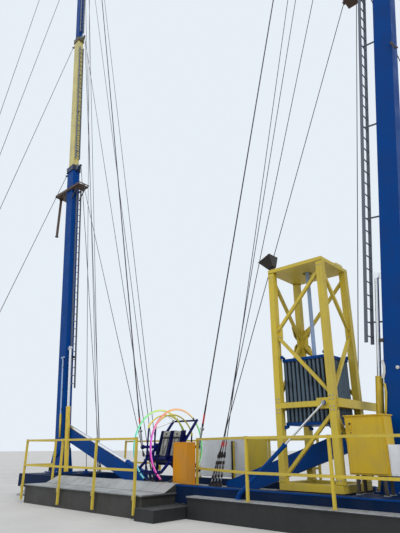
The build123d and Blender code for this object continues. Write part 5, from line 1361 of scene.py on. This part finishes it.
def make_pad(name, middle_x, line, start, end, thickness, channels):
    """One crowned cushion: full in the middle, pulled in at its seam, with sewn channels across it."""
    piece = Piece(name)
    bmesh.ops.create_cube(piece.shape, size=2)
    bmesh.ops.subdivide_edges(piece.shape, edges=piece.shape.edges[:], cuts=PAD_CUTS, use_grid_fill=True)
    middle, half_length = (start + end) / 2, (end - start) / 2
    for vertex in piece.shape.verts:
        a, b, c = vertex.co
        seam_pull, crown_pull = SEAM_PULL * c * c, CROWN_PULL * max(0, c) ** 2
        a_in = a * (1 - seam_pull * b * b - crown_pull)
        b_in = b * (1 - seam_pull * a * a - crown_pull)
        crown = (1 - a ** 4) * (1 - b ** 4)
        up = thickness * (0.5 + c * (0.28 + 0.30 * crown if c > 0 else 0.5))
        for share in channels:
            gap = abs((b + 1) / 2 - share) / CHANNEL_HALF
            if c > 0.5 and gap < 1 and max(abs(a), abs(b)) < 0.98:
                up -= CHANNEL_DEPTH * (1 - gap) ** 2 * (1 - abs(a) ** 6)
        vertex.co = off_line(line, middle + b_in * half_length, 0.0005 + up, middle_x + a_in * PAD_HALF)
    material = "navy_vinyl" if "pan" in name else "grey_pad"
    made = piece.done(material, body="capsule", slot="grey_pad", smooth=True)
    smoothing = made.modifiers.new("smoothing", "SUBSURF")
    smoothing.levels = smoothing.render_levels = 1
    return made


def pad_rim(middle_x, line, start, end, up):
    """The corners of a cushion's seam, as a closed run."""
    inset = 0.006
    low, high = middle_x - PAD_HALF + inset, middle_x + PAD_HALF - inset
    first, last = start + inset, end - inset
    corners = [(first, low), (first, high), (last, high), (last, low), (first, low)]
    return [off_line(line, along, up, x) for along, x in corners]


def make_cushions():
    """The six cushions with the piping along their seams."""
    made = []
    piping = Piece("pad_piping")
    for side, name in SIDES:
        for part, line, start, end, thickness, channels in PADS:
            middle = side * SEAT_MIDDLE
            made.append(make_pad(f"{name}_{part}_cushion", middle, line, start, end, thickness, channels))
            corners = pad_rim(middle, line, start, end, thickness * 0.5)
            for first, second in zip(corners, corners[1:]):
                piping.rod(first, second, 0.004, 8)
    for cushion in made:
        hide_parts("seat_pads")
    piping.done("strap", body="capsule", slot="seat_shell")


def make_harness():
    """Shoulder straps, a lap belt and buckles on each seat, and a dark slot in each head cushion: a black
    bar that is painted shade for the hole.
    """
    straps, buckles, hole_shades = Piece("harness_straps"), Piece("harness_buckles"), Piece("head_hole_shades")
    for side, _ in SIDES:
        middle = side * SEAT_MIDDLE
        for dx in (-STRAP_X, STRAP_X):
            run = [off_line(SEAT_BACK, along, up, middle + dx * share) for along, up, share in SHOULDER]
            straps.strap(run, 0.028, 0.003)
            clip = [off_line(SEAT_BACK, along, 0.064, middle + dx) for along in (0.37, 0.395)]
            buckles.bar(*clip, 0.034, 0.006, side=ALONG_X)
        run = [off_line(SEAT_PAN, along, up, middle + dx) for along, up, dx in LAP_BELT]
        straps.strap(run, 0.045, 0.003, side=ALONG_Y)
        centre = off_line(SEAT_PAN, 0.285, 0.071, middle)
        buckles.rod(centre, centre + UP * 0.016, 0.034, 20)
        buckles.rod(centre + UP * 0.016, centre + UP * 0.022, 0.018, 20)
        # The slot is a black bar on the cushion: painted shade standing for the hole through it
        slot = [off_line(SEAT_BACK, along, 0.063, middle) for along in (0.615, 0.675)]
        hole_shades.bar(*slot, 0.055, 0.008, side=ALONG_X)
    straps.done("strap", body="capsule", slot="seat_shell")
    hole_shades.done("black_rubber", body="capsule", slot="dark_paint", bevel=0.003)
    buckles.done("galvanised_steel", body="capsule", slot="cylinder_steel", bevel=0.001)


def make_seat_edges():
    """Rolled edges along the raised sides of the seat shells."""
    piece = Piece("seat_edges")
    for side, _ in SIDES:
        for cheek in (-1, 1):
            x = side * SEAT_MIDDLE + cheek * CHEEK_REACH
            run = [CAPSULE_CENTRE + Vector((x, SEAT_SHIFT + y, z)) for y, z in SEAT_OUTLINE]
            piece.tube(run, CHEEK_RADIUS, 12)
    piece.done("seat_shell", body="capsule", smooth=True)


def make_capsule_fittings():
    """Hoop clips, hub flanges with bolts, the foot rest and the stays in the right hoop."""
    clips, bolts, treads = Piece("hoop_clips"), Piece("capsule_bolts"), Piece("rest_treads")
    frame_parts, stays = Piece("capsule_brackets"), Piece("hoop_stays")
    for side, _ in SIDES:
        x = side * HOOP_X
        for angle in CROSS_TUBE_ANGLES:
            clips.tube([on_hoop(x, HOOP_RADIUS, angle + turn) for turn in (-1.2, 0, 1.2)], CLIP_RADIUS, 14)
            outer = HOOP_RADIUS + CLIP_RADIUS
            bolts.rod(on_hoop(x, outer, angle), on_hoop(x, outer + 0.009, angle), 0.007, 8)
        hub = CAPSULE_CENTRE + ALONG_X * side * HUB_X
        flange = hub + ALONG_X * side * 0.016
        frame_parts.rod(hub, flange, 0.095, 28)
        bolts.bolt_circle(flange, ALONG_X * side, 0.074, 6, 30, 0.009)
        collar = CAPSULE_CENTRE + ALONG_X * side * COLLAR_X
        frame_parts.rod(collar, collar + ALONG_X * side * 0.035, 0.052, 24)
        for angle in (-40, -140):
            for radius in (0.2, 0.55):
                bolts.bolt(on_hoop(side * 0.4765, radius, angle), (side, 0, 0), 0.008)
    stay = on_hoop(0.3, 0.912, 60), Vector((0.3, -0.61, 2.08)), on_hoop(0.3, 0.912, 27)
    for start, end in zip(stay, stay[1:]):
        stays.rod(start, end, 0.008, 10)
    rest = on_hoop(0, 0.83, -47)
    tilt = Matrix.Rotation(math.radians(28), 3, "X")
    half = Vector((0.3, 0.07, 0.005))
    frame_parts.box(rest - half, rest + half, tilt)
    for x in (-0.26, 0.26):
        frame_parts.rod(rest + ALONG_X * x, on_hoop(x, 0.88, -40), 0.012, 10)
    for index in range(9):
        foot = rest + Vector((-0.28 + index * 0.07, 0, 0.006))
        half = Vector((0.006, 0.06, 0.002))
        treads.box(foot - half, foot + half, tilt)
    stays.done("white_steel", body="capsule", slot="galvanised_steel")
    clips.done("navy_paint", body="capsule")
    treads.done("black_rubber", body="capsule", slot="dark_paint")
    bolts.done("bright_steel", body="capsule", slot="cylinder_steel")
    frame_parts.done("navy_paint", body="capsule", bevel=0.002)


make_cushions()
make_harness()
make_seat_edges()
make_capsule_fittings()


# Work platforms and the post behind the deck

PLATFORM_HALF_Y = 0.25
BOARD_THICKNESS, BOARD_HEIGHT = 0.008, 0.05
END_INSET = 0.018
HANGING_TUBE_INSET = 0.09
POST_LOW = Vector((0.79, 1.10, 0.64))
POST_HIGH = Vector((0.86, 1.17, 1.60))


def make_platform_trim():
    """Toe boards round the work platforms, brackets under them and flanges on the hanging tube."""
    boards, brackets = Piece("toe_boards"), Piece("platform_brackets")
    for side, name in SIDES:
        low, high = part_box(f"{name}_work_platform")
        crest = high.z + BOARD_HEIGHT
        start = low.x if side < 0 else MAST_FOOT_X + high.z * math.tan(MAST_LEAN)
        for y in (-PLATFORM_HALF_Y, PLATFORM_HALF_Y - BOARD_THICKNESS):
            boards.box((start, y, high.z), (high.x, y + BOARD_THICKNESS, crest))
        last = high.x - BOARD_THICKNESS
        for x in (low.x, last - END_INSET) if side < 0 else (last,):
            boards.box((x, -PLATFORM_HALF_Y, high.z), (x + BOARD_THICKNESS, PLATFORM_HALF_Y, crest))
        for y in (-0.19, 0.19):
            for out, reach in ((-0.22, -0.42), (0.22, 0.3))[side > 0:]:
                root = mast_at(side, PLATFORM_ALONGS[side] - 0.55, out, y)
                tip = Vector((root.x + side * reach * 0.9, y, high.z - 0.05))
                brackets.bar(root, tip, 0.03, 0.04)
    low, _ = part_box("left_work_platform")
    tube = Vector((low.x + HANGING_TUBE_INSET, 0, low.z))
    brackets.rod(tube, tube + UP * 0.03, 0.075, 20)
    brackets.rod(tube + UP * 1.84, tube + UP * 1.87, 0.08, 20)
    boards.done("brown_paint", slot="dark_paint")
    brackets.done("dark_paint", bevel=0.002)


def make_rear_post():
    """A black post with a yellow face on the rear beam, between the deck and the white panel."""
    post, face = Piece("rear_post"), Piece("rear_post_face")
    low, high = POST_LOW, POST_HIGH
    post.box(low, high)
    post.box((low.x - 0.03, low.y - 0.03, low.z), (high.x + 0.03, high.y + 0.03, low.z + 0.012))
    face.box((high.x, low.y, low.z + 0.03), (high.x + 0.006, high.y, high.z))
    post.done("dark_paint", bevel=0.003)
    face.done("yellow_paint")


make_platform_trim()
make_rear_post()
